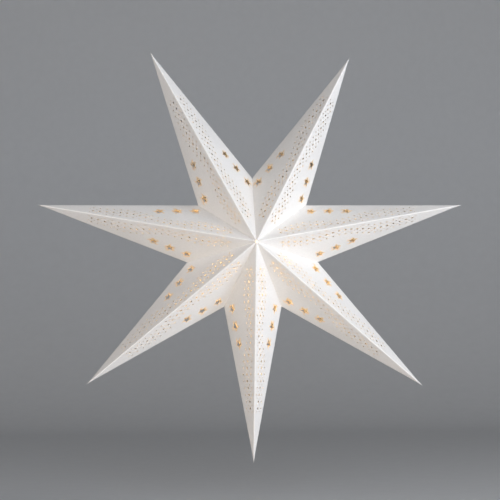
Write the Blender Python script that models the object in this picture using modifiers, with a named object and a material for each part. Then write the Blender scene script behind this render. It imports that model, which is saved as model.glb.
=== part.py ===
"""A folded paper star lantern with seven points, hung on a small screw lampholder with its bulb.

Metres, +Z up. The origin is the middle of the lampholder's cord inlet, at its top edge, and the
front of the star faces -Y. Each point is one sheet, folded into a four-sided cone.
"""
from math import cos, hypot, pi, radians, sin

import bmesh
import bpy
from mathutils import Matrix, Vector

# General clearances
FIT_GAP = 0.0003
CUT_OVERRUN = 0.002
MERGE_DISTANCE = 0.00001

# The folded star
POINTS = 7
TIP_RADIUS = 0.300
NOTCH_RADIUS = 0.095
HALF_DEPTH = 0.090
PAPER = 0.0004

# How far each point hangs round from its even place, clockwise, as a share of the even angle
HANG_SHARES = (0.037, 0.039, 0.022, 0, -0.022, -0.039, -0.037)

# How long each point is, as a share of the tip radius
TIP_SHARES = (0.997, 1.003, 1.027, 1.006, 1.0, 1.012, 1.024)

# Glue flaps, turned inwards along the valley edges
FLAP_WIDTH = 0.012
FLAP_FROM_HUB = 0.025
FLAP_CLEARANCE = 0.002

# Star cut-outs, in a row beside each silhouette edge
CUTS_PER_PANEL = 3
CUT_FIRST = 0.004
TOP_CUT_FIRST = -0.0016
CUT_PITCH = 0.0247
CUT_FROM_EDGE = 0.020
CUT_RADIUS = 0.0066
CUT_TIPS = 5
CUT_INNER_SHARE = 0.5
CORD_RELIEF_RADIUS = 0.0032

# Hook and loop tapes of the top seam
TAPE_THICKNESS = 0.0006
TAPE_LENGTH = 0.020
TAPE_GRIP = 0.008
TAPE_REACH = 0.009
TAPE_BEND = 0.0015

# Lampholder, worked out from the bulb's thread outwards
BULB_THREAD_RADIUS = 0.00693
BULB_THREAD_PITCH = 0.0028
BULB_THREAD_TURNS = 5
SHELL_WALL = 0.00045
CORE_WALL = 0.0010
LEDGE_WIDTH = 0.0011
HOLDER_WALL = 0.0015
INLET_RADIUS = 0.0043
NECK_WALL = 0.0022
NECK_HEIGHT = 0.0055
CAP_CHAMFER = 0.0015
CAP_HEIGHT = 0.020
SPIGOT_HEIGHT = 0.006
LEDGE_DEPTH = 0.008
LEDGE_THICKNESS = 0.002
SKIRT_LENGTH = 0.0385
FLANGE_REACH = 0.004
FLANGE_THICKNESS = 0.002
FLANGE_ABOVE_RIM = 0.0185
THREAD_STEP = 0.0004
THREAD_DEPTH = 0.0006
THREAD_PITCH = 0.003
THREAD_TURNS = 5
CORE_HEAD_HEIGHT = 0.010
CHAMBER_DEPTH = 0.009
WEB_THICKNESS = 0.003
SOCKET_DEPTH = 0.020
SHELL_LENGTH = 0.0215
SHELL_TAB_WIDTH = 0.003
SHELL_TAB_RISE = 0.004

# Shade ring
RING_RADIUS = 0.0215
RING_PLATE = 0.002
RING_LIP_HEIGHT = 0.004
RING_LIP_WALL = 0.0015
RING_SLEEVE_WALL = 0.002
RING_HEIGHT = 0.008
RING_GRIPS = 12
RING_GRIP_RADIUS = 0.0012

# Contacts and terminals
BLOCK_INSET = 0.0020
BLOCK_WIDTH = 0.0046
BLOCK_DEPTH = 0.007
BLOCK_HEIGHT = 0.007
WIRE_HOLE_RADIUS = 0.0014
SCREW_RADIUS = 0.0013
SCREW_HEAD_RADIUS = 0.0021
SCREW_HEAD_HEIGHT = 0.0016
SCREW_LENGTH = 0.0022
SCREW_SLOT_WIDTH = 0.0006
SCREW_SLOT_DEPTH = 0.0007
CONTACT_THICKNESS = 0.0004
CONTACT_WIDTH = 0.004
CONTACT_RISE = 0.003
CONTACT_DROP = 0.0028

# Bulb
TIP_CONTACT_RADIUS = 0.0024
TIP_CONTACT_HEIGHT = 0.0014
INSULATOR_HEIGHT = 0.003
INSULATOR_TOP_RADIUS = 0.0045
BULB_CAP_WALL = 0.0004
BULB_CAP_LENGTH = 0.018
BULB_CAP_THREAD_DEPTH = 0.0006
COLLAR_NECK_RADIUS = 0.0088
COLLAR_NECK_HEIGHT = 0.006
COLLAR_HEIGHT = 0.020
COLLAR_WALL = 0.0012
GLOBE_RADIUS = 0.0225
GLOBE_WALL = 0.0008
GLOBE_MOUTH_RADIUS = 0.0190
LED_BOARD_THICKNESS = 0.0016
DRIVER_WIDTH = 0.009
DRIVER_THICKNESS = 0.0012
DRIVER_LENGTH = 0.026
CAPACITOR_RADIUS = 0.0022
CAPACITOR_LENGTH = 0.007

# Facets of the round pieces
ROUND_STEPS = 32
FINE_STEPS = 24
GLOBE_ARC_STEPS = 10

# Sizes that follow from the ones above: the lampholder's radii, from the inside out
SHELL_INNER = BULB_THREAD_RADIUS + FIT_GAP
SHELL_OUTER = SHELL_INNER + SHELL_WALL
CORE_BORE = SHELL_OUTER + FIT_GAP
CORE_RADIUS = CORE_BORE + CORE_WALL
LEDGE_RADIUS = CORE_RADIUS + FIT_GAP
CORE_HEAD_RADIUS = LEDGE_RADIUS + LEDGE_WIDTH
SPIGOT_INNER = CORE_HEAD_RADIUS + FIT_GAP
SPIGOT_RADIUS = SPIGOT_INNER + HOLDER_WALL
CAP_INNER = SPIGOT_RADIUS + FIT_GAP
HOLDER_RADIUS = CAP_INNER + HOLDER_WALL
CREST_RADIUS = HOLDER_RADIUS - THREAD_STEP
ROOT_RADIUS = CREST_RADIUS - THREAD_DEPTH
SKIRT_INNER = ROOT_RADIUS - HOLDER_WALL
NECK_RADIUS = INLET_RADIUS + NECK_WALL

# The lamp's heights, from the cord inlet down
CAP_TOP = -NECK_HEIGHT
CAP_BASE = CAP_TOP - CAP_HEIGHT
SKIRT_TOP = CAP_BASE + SPIGOT_HEIGHT
SKIRT_RIM = SKIRT_TOP - SKIRT_LENGTH
LEDGE_TOP = SKIRT_TOP - LEDGE_DEPTH
LEDGE_BASE = LEDGE_TOP - LEDGE_THICKNESS
FLANGE_BASE = SKIRT_RIM + FLANGE_ABOVE_RIM
FLANGE_TOP = FLANGE_BASE + FLANGE_THICKNESS
RING_TOP = FLANGE_BASE - FIT_GAP
CORE_HEAD_BASE = LEDGE_TOP + FIT_GAP
CORE_TOP = CORE_HEAD_BASE + CORE_HEAD_HEIGHT
WEB_TOP = CORE_TOP - CHAMBER_DEPTH
WEB_BASE = WEB_TOP - WEB_THICKNESS
CORE_RIM = WEB_BASE - SOCKET_DEPTH
SHELL_TOP = WEB_BASE - FIT_GAP
BLOCK_BASE = WEB_TOP + FIT_GAP
BLOCK_TOP = BLOCK_BASE + BLOCK_HEIGHT
CONTACT_BASE = WEB_BASE - CONTACT_DROP
BULB_TOP = CONTACT_BASE - FIT_GAP
TIP_BASE = BULB_TOP - TIP_CONTACT_HEIGHT
INSULATOR_TOP = TIP_BASE - FIT_GAP
INSULATOR_BASE = INSULATOR_TOP - INSULATOR_HEIGHT
BULB_CAP_TOP = INSULATOR_BASE - FIT_GAP
BULB_CAP_BASE = BULB_CAP_TOP - BULB_CAP_LENGTH
COLLAR_TOP = BULB_CAP_BASE - FIT_GAP
COLLAR_BASE = COLLAR_TOP - COLLAR_HEIGHT
GLOBE_SEAT_RISE = (GLOBE_RADIUS**2 - GLOBE_MOUTH_RADIUS**2) ** 0.5
GLOBE_TOP = COLLAR_BASE - FIT_GAP
GLOBE_CENTRE = GLOBE_TOP - GLOBE_SEAT_RISE

# The star hangs with its top seam on the cap's chamfer, on both sides of the cord
VALLEY_LENGTH = hypot(NOTCH_RADIUS, HALF_DEPTH)
SEAT_CLEARANCE = PAPER + FIT_GAP
SEAT_RADIUS = HOLDER_RADIUS - CAP_CHAMFER
SEAT_SLOPE = NOTCH_RADIUS / HALF_DEPTH
UPPER_SEAT = CAP_TOP + SEAT_RADIUS * SEAT_SLOPE
LOWER_SEAT = CAP_TOP - CAP_CHAMFER + HOLDER_RADIUS * SEAT_SLOPE
SEAT_LIFT = SEAT_CLEARANCE * VALLEY_LENGTH / HALF_DEPTH
STAR_CENTRE = Vector((0, 0, max(UPPER_SEAT, LOWER_SEAT) + SEAT_LIFT - NOTCH_RADIUS))
POINT_ANGLE = 2 * pi / POINTS
SEAM_CLEARANCE = FIT_GAP / 2
FLAP_REACH = HOLDER_RADIUS + FLAP_CLEARANCE + FLAP_WIDTH * NOTCH_RADIUS / VALLEY_LENGTH
FLAP_START = FLAP_REACH * VALLEY_LENGTH / HALF_DEPTH
FLAP_END = VALLEY_LENGTH - FLAP_FROM_HUB

# Colours as linear red, green and blue
PAPER_WHITE = (0.86, 0.85, 0.82)
HOLDER_WHITE = (0.80, 0.79, 0.76)
PLASTIC_WHITE = (0.72, 0.72, 0.70)
CERAMIC_CREAM = (0.66, 0.62, 0.53)
BRASS = (0.72, 0.50, 0.20)
NICKEL = (0.62, 0.60, 0.56)
OPAL = (0.95, 0.80, 0.55)
BLACK_GLASS = (0.02, 0.02, 0.02)
ALUMINIUM = (0.75, 0.76, 0.78)
BOARD_GREEN = (0.03, 0.16, 0.07)
TAPE_WHITE = (0.78, 0.78, 0.78)


def clear_scene():
    for item in list(bpy.data.objects):
        bpy.data.objects.remove(item, do_unlink=True)


def new_collection(name):
    group = bpy.data.collections.new(name)
    bpy.context.scene.collection.children.link(group)
    return group


def new_material(name, colour, roughness, metallic=0.0):
    material = bpy.data.materials.new(name)
    material.use_nodes = True
    shader = material.node_tree.nodes["Principled BSDF"]
    shader.inputs["Base Color"].default_value = (*colour, 1.0)
    shader.inputs["Roughness"].default_value = roughness
    shader.inputs["Metallic"].default_value = metallic
    material.diffuse_color = (*colour, 1.0)
    return material


def add_object(name, mesh, material=None, group=None):
    part = bpy.data.objects.new(name, mesh)
    (group or PARTS).objects.link(part)
    if material:
        mesh.materials.clear()
        mesh.materials.append(material)
    return part


def shade(mesh, sharp_angle=radians(35)):
    mesh.shade_smooth()
    mesh.set_sharp_from_angle(angle=sharp_angle)


def evaluated_mesh(part):
    """The object's mesh with its modifiers applied."""
    bpy.context.view_layer.update()
    graph = bpy.context.evaluated_depsgraph_get()
    return bpy.data.meshes.new_from_object(part.evaluated_get(graph))


def applied(part):
    """Turn the object's modifiers into plain mesh, and keep the object."""
    old = part.data
    part.data = evaluated_mesh(part)
    part.modifiers.clear()
    bpy.data.meshes.remove(old)
    return part


def turned(name, profile, material=None, closed=True, steps=ROUND_STEPS, group=None):
    """A profile of (radius, height) turned about Z. An open one starts and ends on the axis."""
    mesh = bpy.data.meshes.new(name)
    shape = bmesh.new()
    corners = [shape.verts.new((radius, 0, height)) for radius, height in profile]
    for first, second in zip(corners, corners[1:]):
        shape.edges.new((first, second))
    if closed:
        shape.edges.new((corners[-1], corners[0]))
    shape.to_mesh(mesh)
    shape.free()
    part = add_object(name, mesh, material, group)
    spin = part.modifiers.new("Turn", "SCREW")
    spin.axis = "Z"
    spin.angle = 2 * pi
    spin.steps = steps
    spin.render_steps = steps
    spin.use_merge_vertices = True
    spin.merge_threshold = MERGE_DISTANCE
    spin.use_smooth_shade = True
    applied(part)
    shade(part.data)
    return part


def block(name, low, high, material=None, group=None):
    """A box between two corners."""
    mesh = bpy.data.meshes.new(name)
    shape = bmesh.new()
    bmesh.ops.create_cube(shape, size=1)
    size = Vector(high) - Vector(low)
    middle = (Vector(high) + Vector(low)) / 2
    bmesh.ops.transform(shape, matrix=Matrix.Translation(middle) @ Matrix.Diagonal((*size, 1)), verts=shape.verts)
    shape.to_mesh(mesh)
    shape.free()
    return add_object(name, mesh, material, group)


def rod(name, radius, start, end, material=None, steps=FINE_STEPS, group=None):
    """A cylinder between two points."""
    start = Vector(start)
    run = Vector(end) - start
    mesh = bpy.data.meshes.new(name)
    shape = bmesh.new()
    bmesh.ops.create_cone(
        shape, cap_ends=True, segments=steps, radius1=radius, radius2=radius, depth=run.length
    )
    turn = run.to_track_quat("Z", "Y").to_matrix().to_4x4()
    bmesh.ops.transform(shape, matrix=Matrix.Translation(start + run / 2) @ turn, verts=shape.verts)
    shape.to_mesh(mesh)
    shape.free()
    shade(mesh)
    return add_object(name, mesh, material, group)


def hide_cutter(cutter):
    cutter.hide_render = True
    cutter.display_type = "WIRE"


def cut(part, cutter, operation="DIFFERENCE"):
    """Cut one piece with a cutter, or join it with a helper solid, by an exact Boolean."""
    step = part.modifiers.new(operation.title(), "BOOLEAN")
    step.operation = operation
    step.solver = "EXACT"
    step.object = cutter
    hide_cutter(cutter)


def flat_outlines(outlines, thickness=0):
    """The flat sheets, or the plates, inside closed outlines."""
    curve = bpy.data.curves.new("outline", "CURVE")
    curve.dimensions = "2D"
    curve.fill_mode = "BOTH"
    curve.extrude = thickness / 2
    for outline in outlines:
        spline = curve.splines.new("POLY")
        spline.points.add(len(outline) - 1)
        for point, place in zip(spline.points, outline):
            point.co = (*place, 0, 1)
        spline.use_cyclic_u = True
    holder = add_object("outline", curve)
    mesh = evaluated_mesh(holder)
    bpy.data.objects.remove(holder)
    bpy.data.curves.remove(curve)
    return mesh


def star_outline(centre):
    """One five-pointed cut-out, with a tip towards +X."""
    outline = []
    for corner in range(2 * CUT_TIPS):
        reach = CUT_RADIUS if corner % 2 == 0 else CUT_RADIUS * CUT_INNER_SHARE
        turn = pi * corner / CUT_TIPS
        outline.append((centre[0] + reach * cos(turn), centre[1] + reach * sin(turn)))
    return outline


class PanelShape:
    """One upper front panel, its point's tip on +X, between that tip and a seam at an angle above it."""

    def __init__(self, seam_angle, tip_radius, shift):
        seam = Vector((cos(seam_angle), 0, sin(seam_angle)))
        self.seam_normal = Vector((-sin(seam_angle), 0, cos(seam_angle)))
        self.notch = seam * NOTCH_RADIUS + shift
        self.tip = Vector((tip_radius, 0, 0)) + shift
        self.hub = Vector((0, -HALF_DEPTH, 0)) + shift
        self.valley = (self.hub - self.notch).normalized()
        self.depth = Vector((0, NOTCH_RADIUS, 0)) - seam * HALF_DEPTH
        self.depth.normalize()
        self.edge = (self.tip - self.notch).normalized()
        to_hub = self.hub - self.notch
        self.across = (to_hub - self.edge * to_hub.dot(self.edge)).normalized()

    def outline(self):
        """The panel, flat, with X along the edge from notch to tip and Y towards the hub."""
        corners = [
            self.notch,
            self.tip,
            self.hub,
            self.notch + self.valley * FLAP_END,
            self.notch + self.valley * FLAP_START,
        ]
        offsets = [corner - self.notch for corner in corners]
        return [(offset.dot(self.edge), offset.dot(self.across)) for offset in offsets]


def flap_outline():
    """The glue flap, flat, with X along the valley edge and Y inwards. Its ends slope."""
    return [
        (FLAP_START, 0),
        (FLAP_END, 0),
        (FLAP_END - FLAP_WIDTH, FLAP_WIDTH),
        (FLAP_START + FLAP_WIDTH / 2, FLAP_WIDTH),
    ]


def tip_turn(number):
    """How far a point's tip lies round from the top seam, clockwise from the front."""
    return POINT_ANGLE * (number - 0.5 + HANG_SHARES[number - 1])


def seam_turn(number):
    """How far the seam after a point lies round from the top seam."""
    if number in (0, POINTS):
        return POINT_ANGLE * number
    return (tip_turn(number) + tip_turn(number + 1)) / 2


def point_matrix(number):
    """The place of one point. The first is right of the top seam, and the count goes clockwise."""
    return Matrix.Translation(STAR_CENTRE) @ Matrix.Rotation(tip_turn(number) - pi / 2, 4, "Y")


def panels_of(number):
    """The four panels of a point, its tip on +X: each one's shape, and the mirror that puts it in place."""
    before = tip_turn(number) - seam_turn(number - 1)
    after = seam_turn(number) - tip_turn(number)
    span = sin(before + after)
    along = SEAM_CLEARANCE * (cos(before) + cos(after)) / span
    aside = SEAM_CLEARANCE * (sin(before) - sin(after)) / span
    tip_radius = TIP_RADIUS * TIP_SHARES[number - 1]
    for side, angle in ((1, before), (-1, after)):
        panel = PanelShape(angle, tip_radius, Vector((along, 0, aside * side)))
        for face in (1, -1):
            yield panel, Matrix.Diagonal((1, face, side))


def frame_matrix(origin, x_axis, y_axis):
    """A matrix that puts a flat outline's X and Y along two directions."""
    columns = (x_axis, y_axis, x_axis.cross(y_axis))
    turn = Matrix([[column[row] for column in columns] for row in range(3)]).to_4x4()
    return Matrix.Translation(origin) @ turn


def add_sheet(shape, mesh, matrix, outward):
    """Add one flat sheet to the folded one, its face turned to the outside."""
    before = set(shape.faces)
    old_corners = set(shape.verts)
    shape.from_mesh(mesh)
    corners = [corner for corner in shape.verts if corner not in old_corners]
    bmesh.ops.transform(shape, matrix=matrix, verts=corners)
    faces = [face for face in shape.faces if face not in before]
    normal = (matrix.to_3x3() @ Vector((0, 0, 1))).normalized()
    if normal.dot(outward) < 0:
        bmesh.ops.reverse_faces(shape, faces=faces)


def panel_matrix(panel, mirror):
    return frame_matrix(mirror @ panel.notch, mirror @ panel.edge, mirror @ panel.across)


def folded_point_mesh(number):
    """The folded sheet of one point, its tip on +X: four panels and four flaps."""
    flap = flat_outlines([flap_outline()])
    mesh = bpy.data.meshes.new("folded_point")
    shape = bmesh.new()
    for panel, mirror in panels_of(number):
        notch = mirror @ panel.notch
        outward = notch - Vector(((panel.tip.x + notch.x) / 2, 0, 0))
        add_sheet(shape, flat_outlines([panel.outline()]), panel_matrix(panel, mirror), outward)
        flap_place = frame_matrix(notch, mirror @ panel.valley, mirror @ panel.depth)
        add_sheet(shape, flap, flap_place, mirror @ panel.seam_normal)
    bmesh.ops.remove_doubles(shape, verts=shape.verts, dist=MERGE_DISTANCE)
    shape.to_mesh(mesh)
    shape.free()
    return mesh


def star_punch_mesh(number):
    """Star-shaped punches that stand through the four panels of one point, its tip on +X."""
    mesh = bpy.data.meshes.new("star_punches")
    shape = bmesh.new()
    for place, (panel, mirror) in enumerate(panels_of(number)):
        beside_top_seam = (number, place // 2) in ((1, 0), (POINTS, 1))
        first = TOP_CUT_FIRST if beside_top_seam else CUT_FIRST
        row = [(first + step * CUT_PITCH, CUT_FROM_EDGE) for step in range(CUTS_PER_PANEL)]
        punch = flat_outlines([star_outline(centre) for centre in row], 2 * CUT_OVERRUN)
        old_corners = set(shape.verts)
        shape.from_mesh(punch)
        corners = [corner for corner in shape.verts if corner not in old_corners]
        bmesh.ops.transform(shape, matrix=panel_matrix(panel, mirror), verts=corners)
    bmesh.ops.remove_doubles(shape, verts=shape.verts, dist=MERGE_DISTANCE)
    bmesh.ops.recalc_face_normals(shape, faces=shape.faces)
    shape.to_mesh(mesh)
    shape.free()
    return mesh


def make_points():
    relief_top = STAR_CENTRE.z + NOTCH_RADIUS + 4 * CORD_RELIEF_RADIUS
    relief_base = STAR_CENTRE.z + NOTCH_RADIUS - 2 * CORD_RELIEF_RADIUS
    relief = rod(
        "cord_relief_cutter", CORD_RELIEF_RADIUS, (0, 0, relief_base), (0, 0, relief_top), group=CUTTERS
    )
    relief.data.transform(Matrix.Rotation(pi / FINE_STEPS, 4, "Z"))
    for number in range(1, POINTS + 1):
        material = new_material(f"white paper {number}", PAPER_WHITE, 0.85)
        part = add_object(f"point_{number}", folded_point_mesh(number), material)
        part.matrix_world = point_matrix(number)
        wall = part.modifiers.new("Paper", "SOLIDIFY")
        wall.thickness = PAPER
        wall.offset = -1
        wall.use_even_offset = True
        punches = add_object(f"star_punches_{number}", star_punch_mesh(number), group=CUTTERS)
        punches.matrix_world = part.matrix_world
        cut(part, punches)
        if number in (1, POINTS):
            cut(part, relief)


def make_tapes():
    """The tapes that close the top seam: glued inside the flaps, they bend to meet past the flaps' edge."""
    glued = SEAM_CLEARANCE + PAPER + FIT_GAP
    meeting = SEAM_CLEARANCE
    top = FLAP_WIDTH - TAPE_GRIP
    bend_start = FLAP_WIDTH + FIT_GAP
    bend_end = bend_start + TAPE_BEND
    foot = FLAP_WIDTH + TAPE_REACH
    path = [(glued, top), (glued, bend_start), (meeting, bend_end), (meeting, foot)]
    section = path + [(across + TAPE_THICKNESS, deep) for across, deep in reversed(path)]
    middle = (FLAP_START + FLAP_END) / 2
    notch = STAR_CENTRE + Vector((0, 0, NOTCH_RADIUS))
    for name, number, side in (("hook_tape", 1, 1), ("loop_tape", POINTS, -1)):
        for place, face in (("front", 1), ("back", -1)):
            valley = Vector((0, -HALF_DEPTH * face, -NOTCH_RADIUS)).normalized()
            deep = Vector((0, NOTCH_RADIUS * face, -HALF_DEPTH)).normalized()
            curve = bpy.data.curves.new(name, "CURVE")
            curve.dimensions = "2D"
            curve.fill_mode = "BOTH"
            curve.extrude = TAPE_LENGTH / 2
            spline = curve.splines.new("POLY")
            spline.points.add(len(section) - 1)
            for point, spot in zip(spline.points, section):
                point.co = (*spot, 0, 1)
            spline.use_cyclic_u = True
            tape = add_object(f"{name}_{place}", curve)
            curve.materials.append(new_material(f"{name} {place}", TAPE_WHITE, 0.9))
            tape.matrix_world = frame_matrix(notch + valley * middle, Vector((side, 0, 0)), deep)


def ridges(crest, root, start, pitch, turns):
    """The rounds of a thread in profile, from its top down, as rings: crest, root, crest and so on."""
    profile = []
    for number in range(turns):
        top = start - number * pitch
        profile.append((root, top))
        profile.append((crest, top - pitch / 4))
        profile.append((crest, top - pitch / 2))
        profile.append((root, top - pitch * 3 / 4))
    return profile


def make_holder_cap():
    profile = [
        (INLET_RADIUS, 0),
        (NECK_RADIUS, 0),
        (NECK_RADIUS, CAP_TOP),
        (SEAT_RADIUS, CAP_TOP),
        (HOLDER_RADIUS, CAP_TOP - CAP_CHAMFER),
        (HOLDER_RADIUS, CAP_BASE),
        (CAP_INNER, CAP_BASE),
        (CAP_INNER, CAP_TOP - HOLDER_WALL - CAP_CHAMFER),
        (SEAT_RADIUS - HOLDER_WALL, CAP_TOP - HOLDER_WALL),
        (INLET_RADIUS, CAP_TOP - HOLDER_WALL),
    ]
    turned("holder_cap", profile, new_material("moulded cap", HOLDER_WHITE, 0.35))


def make_holder_skirt():
    thread_top = FLANGE_BASE - THREAD_PITCH / 2
    thread = ridges(CREST_RADIUS, ROOT_RADIUS, thread_top, THREAD_PITCH, THREAD_TURNS)
    profile = [
        (SPIGOT_INNER, SKIRT_TOP),
        (SPIGOT_RADIUS, SKIRT_TOP),
        (SPIGOT_RADIUS, CAP_BASE - FIT_GAP),
        (HOLDER_RADIUS, CAP_BASE - FIT_GAP),
        (HOLDER_RADIUS, FLANGE_TOP),
        (HOLDER_RADIUS + FLANGE_REACH, FLANGE_TOP),
        (HOLDER_RADIUS + FLANGE_REACH, FLANGE_BASE),
        (ROOT_RADIUS, FLANGE_BASE),
        *thread,
        (ROOT_RADIUS, SKIRT_RIM),
        (SKIRT_INNER, SKIRT_RIM),
        (SKIRT_INNER, LEDGE_BASE - LEDGE_THICKNESS),
        (LEDGE_RADIUS, LEDGE_BASE),
        (LEDGE_RADIUS, LEDGE_TOP),
        (SPIGOT_INNER, LEDGE_TOP),
    ]
    turned("holder_skirt", profile, new_material("moulded skirt", HOLDER_WHITE, 0.35))


def make_shade_ring():
    bore = CREST_RADIUS + FIT_GAP
    sleeve = bore + RING_SLEEVE_WALL
    profile = [
        (bore, RING_TOP),
        (RING_RADIUS, RING_TOP),
        (RING_RADIUS, RING_TOP - RING_LIP_HEIGHT),
        (RING_RADIUS - RING_LIP_WALL, RING_TOP - RING_LIP_HEIGHT),
        (RING_RADIUS - RING_LIP_WALL, RING_TOP - RING_PLATE),
        (sleeve, RING_TOP - RING_PLATE),
        (sleeve, RING_TOP - RING_HEIGHT),
        (bore, RING_TOP - RING_HEIGHT),
    ]
    ring = turned("shade_ring", profile, new_material("moulded ring", HOLDER_WHITE, 0.35))
    for number in range(RING_GRIPS):
        turn = 2 * pi * number / RING_GRIPS
        place = Vector((cos(turn), sin(turn), 0)) * RING_RADIUS
        top = place + Vector((0, 0, RING_TOP - RING_PLATE))
        base = place + Vector((0, 0, RING_TOP - RING_LIP_HEIGHT - CUT_OVERRUN))
        grip = rod(f"ring_grip_cutter_{number}", RING_GRIP_RADIUS, base, top, steps=8, group=CUTTERS)
        cut(ring, grip)


def make_holder_core():
    chamber = CORE_HEAD_RADIUS - CORE_WALL
    profile = [
        (0, WEB_TOP),
        (chamber, WEB_TOP),
        (chamber, CORE_TOP),
        (CORE_HEAD_RADIUS, CORE_TOP),
        (CORE_HEAD_RADIUS, CORE_HEAD_BASE),
        (CORE_RADIUS, CORE_HEAD_BASE),
        (CORE_RADIUS, CORE_RIM),
        (CORE_BORE, CORE_RIM),
        (CORE_BORE, WEB_BASE),
        (0, WEB_BASE),
    ]
    core = turned("holder_core", profile, new_material("glazed core", CERAMIC_CREAM, 0.4), closed=False)
    leg = leg_inner()
    half = CONTACT_WIDTH / 2 + FIT_GAP
    contact_slot = block(
        "contact_slot_cutter",
        (-leg - CONTACT_THICKNESS - FIT_GAP, -half, WEB_BASE - CUT_OVERRUN),
        (-leg + FIT_GAP, half, WEB_TOP + CUT_OVERRUN),
        group=CUTTERS,
    )
    low, high = tab_corners()
    edge = Vector((FIT_GAP, FIT_GAP, 0))
    low = low - edge
    high = high + edge
    low.z = WEB_BASE - CUT_OVERRUN
    high.z = WEB_TOP + CUT_OVERRUN
    high.x = CORE_BORE
    tab_slot = block("tab_slot_cutter", low, high, group=CUTTERS)
    cut(core, contact_slot)
    cut(core, tab_slot)


def leg_inner():
    """How far the centre contact's leg stands from the axis, on the side of the live terminal."""
    return BLOCK_INSET - FIT_GAP - CONTACT_THICKNESS


def tab_corners():
    """The screw shell's tab, which stands up through the web beside the neutral terminal."""
    inner = SHELL_OUTER - SHELL_WALL
    low = Vector((inner, -SHELL_TAB_WIDTH / 2, SHELL_TOP - SHELL_WALL))
    high = Vector((SHELL_OUTER - SHELL_WALL / 8, SHELL_TAB_WIDTH / 2, SHELL_TOP + SHELL_TAB_RISE))
    return low, high


def make_screw_shell():
    base = SHELL_TOP - SHELL_LENGTH
    start = SHELL_TOP - BULB_THREAD_PITCH
    root = SHELL_OUTER - SHELL_WALL / 2
    profile = [
        (SHELL_INNER, SHELL_TOP),
        (SHELL_OUTER, SHELL_TOP),
        (SHELL_OUTER, start + BULB_THREAD_PITCH / 4),
        *ridges(SHELL_OUTER, root, start, BULB_THREAD_PITCH, BULB_THREAD_TURNS),
        (SHELL_OUTER, base),
        (SHELL_INNER, base),
    ]
    shell = turned("screw_shell", profile, new_material("shell brass", BRASS, 0.3, 1.0), steps=FINE_STEPS)
    low, high = tab_corners()
    tab = block("shell_tab_helper", low, high, group=CUTTERS)
    cut(shell, tab, "UNION")


def make_centre_contact():
    """A strip that runs down beside the live terminal, turns under the web and springs back over the bulb."""
    middle = CONTACT_THICKNESS / 2
    leg = -leg_inner() - middle
    under = WEB_BASE - FIT_GAP - middle
    hairpin = under - (under - CONTACT_BASE) / 2
    reach = BULB_THREAD_RADIUS - BLOCK_INSET
    path = [
        (leg, WEB_TOP + CONTACT_RISE),
        (leg, under),
        (reach - BLOCK_INSET, under),
        (reach, hairpin),
        (reach - BLOCK_INSET, CONTACT_BASE + middle),
        (-TIP_CONTACT_RADIUS, CONTACT_BASE + middle),
    ]
    mesh = bpy.data.meshes.new("centre_contact")
    shape = bmesh.new()
    corners = [shape.verts.new((across, -CONTACT_WIDTH / 2, height)) for across, height in path]
    edges = [shape.edges.new(pair) for pair in zip(corners, corners[1:])]
    grown = bmesh.ops.extrude_edge_only(shape, edges=edges)["geom"]
    moved = [item for item in grown if isinstance(item, bmesh.types.BMVert)]
    bmesh.ops.translate(shape, vec=(0, CONTACT_WIDTH, 0), verts=moved)
    shape.to_mesh(mesh)
    shape.free()
    strip = add_object("centre_contact", mesh, new_material("contact bronze", BRASS, 0.35, 1.0))
    wall = strip.modifiers.new("Strip", "SOLIDIFY")
    wall.thickness = CONTACT_THICKNESS
    wall.offset = 0
    wall.use_even_offset = True


def make_terminals():
    """Two brass blocks on the web, each with a wire hole and a clamp screw from above."""
    middle = BLOCK_INSET + BLOCK_WIDTH / 2
    hole_height = BLOCK_BASE + BLOCK_HEIGHT / 2 - WIRE_HOLE_RADIUS
    for name, side in (("terminal_live", -1), ("terminal_neutral", 1)):
        inner = side * BLOCK_INSET
        outer = side * (BLOCK_INSET + BLOCK_WIDTH)
        brass = new_material(name.replace("_", " "), BRASS, 0.3, 1.0)
        body = block(
            name,
            (min(inner, outer), -BLOCK_DEPTH / 2, BLOCK_BASE),
            (max(inner, outer), BLOCK_DEPTH / 2, BLOCK_TOP),
            brass,
        )
        reach = BLOCK_DEPTH / 2 + CUT_OVERRUN
        wire = rod(
            f"{name}_wire_cutter",
            WIRE_HOLE_RADIUS,
            (side * middle, -reach, hole_height),
            (side * middle, reach, hole_height),
            steps=16,
            group=CUTTERS,
        )
        tapped = rod(
            f"{name}_screw_cutter",
            SCREW_RADIUS + FIT_GAP,
            (side * middle, 0, hole_height),
            (side * middle, 0, BLOCK_TOP + CUT_OVERRUN),
            steps=16,
            group=CUTTERS,
        )
        cut(body, wire)
        cut(body, tapped)
        make_clamp_screw(name.replace("terminal", "clamp_screw"), side * middle)


def make_clamp_screw(name, across):
    """One slotted clamp screw, its head on the terminal block."""
    head_base = BLOCK_TOP + FIT_GAP
    head_top = head_base + SCREW_HEAD_HEIGHT
    profile = [
        (0, head_top),
        (SCREW_HEAD_RADIUS, head_top),
        (SCREW_HEAD_RADIUS, head_base),
        (SCREW_RADIUS, head_base),
        (SCREW_RADIUS, head_base - SCREW_LENGTH),
        (0, head_base - SCREW_LENGTH),
    ]
    steel = new_material(name.replace("_", " "), NICKEL, 0.3, 1.0)
    screw = turned(name, profile, steel, closed=False, steps=16)
    reach = SCREW_HEAD_RADIUS + CUT_OVERRUN
    half = SCREW_SLOT_WIDTH / 2
    slot = block(
        f"{name}_slot_cutter",
        (-half, -reach, head_top - SCREW_SLOT_DEPTH),
        (half, reach, head_top + CUT_OVERRUN),
        group=CUTTERS,
    )
    place = Matrix.Translation((across, 0, 0))
    slot.data.transform(place)
    screw.data.transform(place)
    cut(screw, slot)


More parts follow.
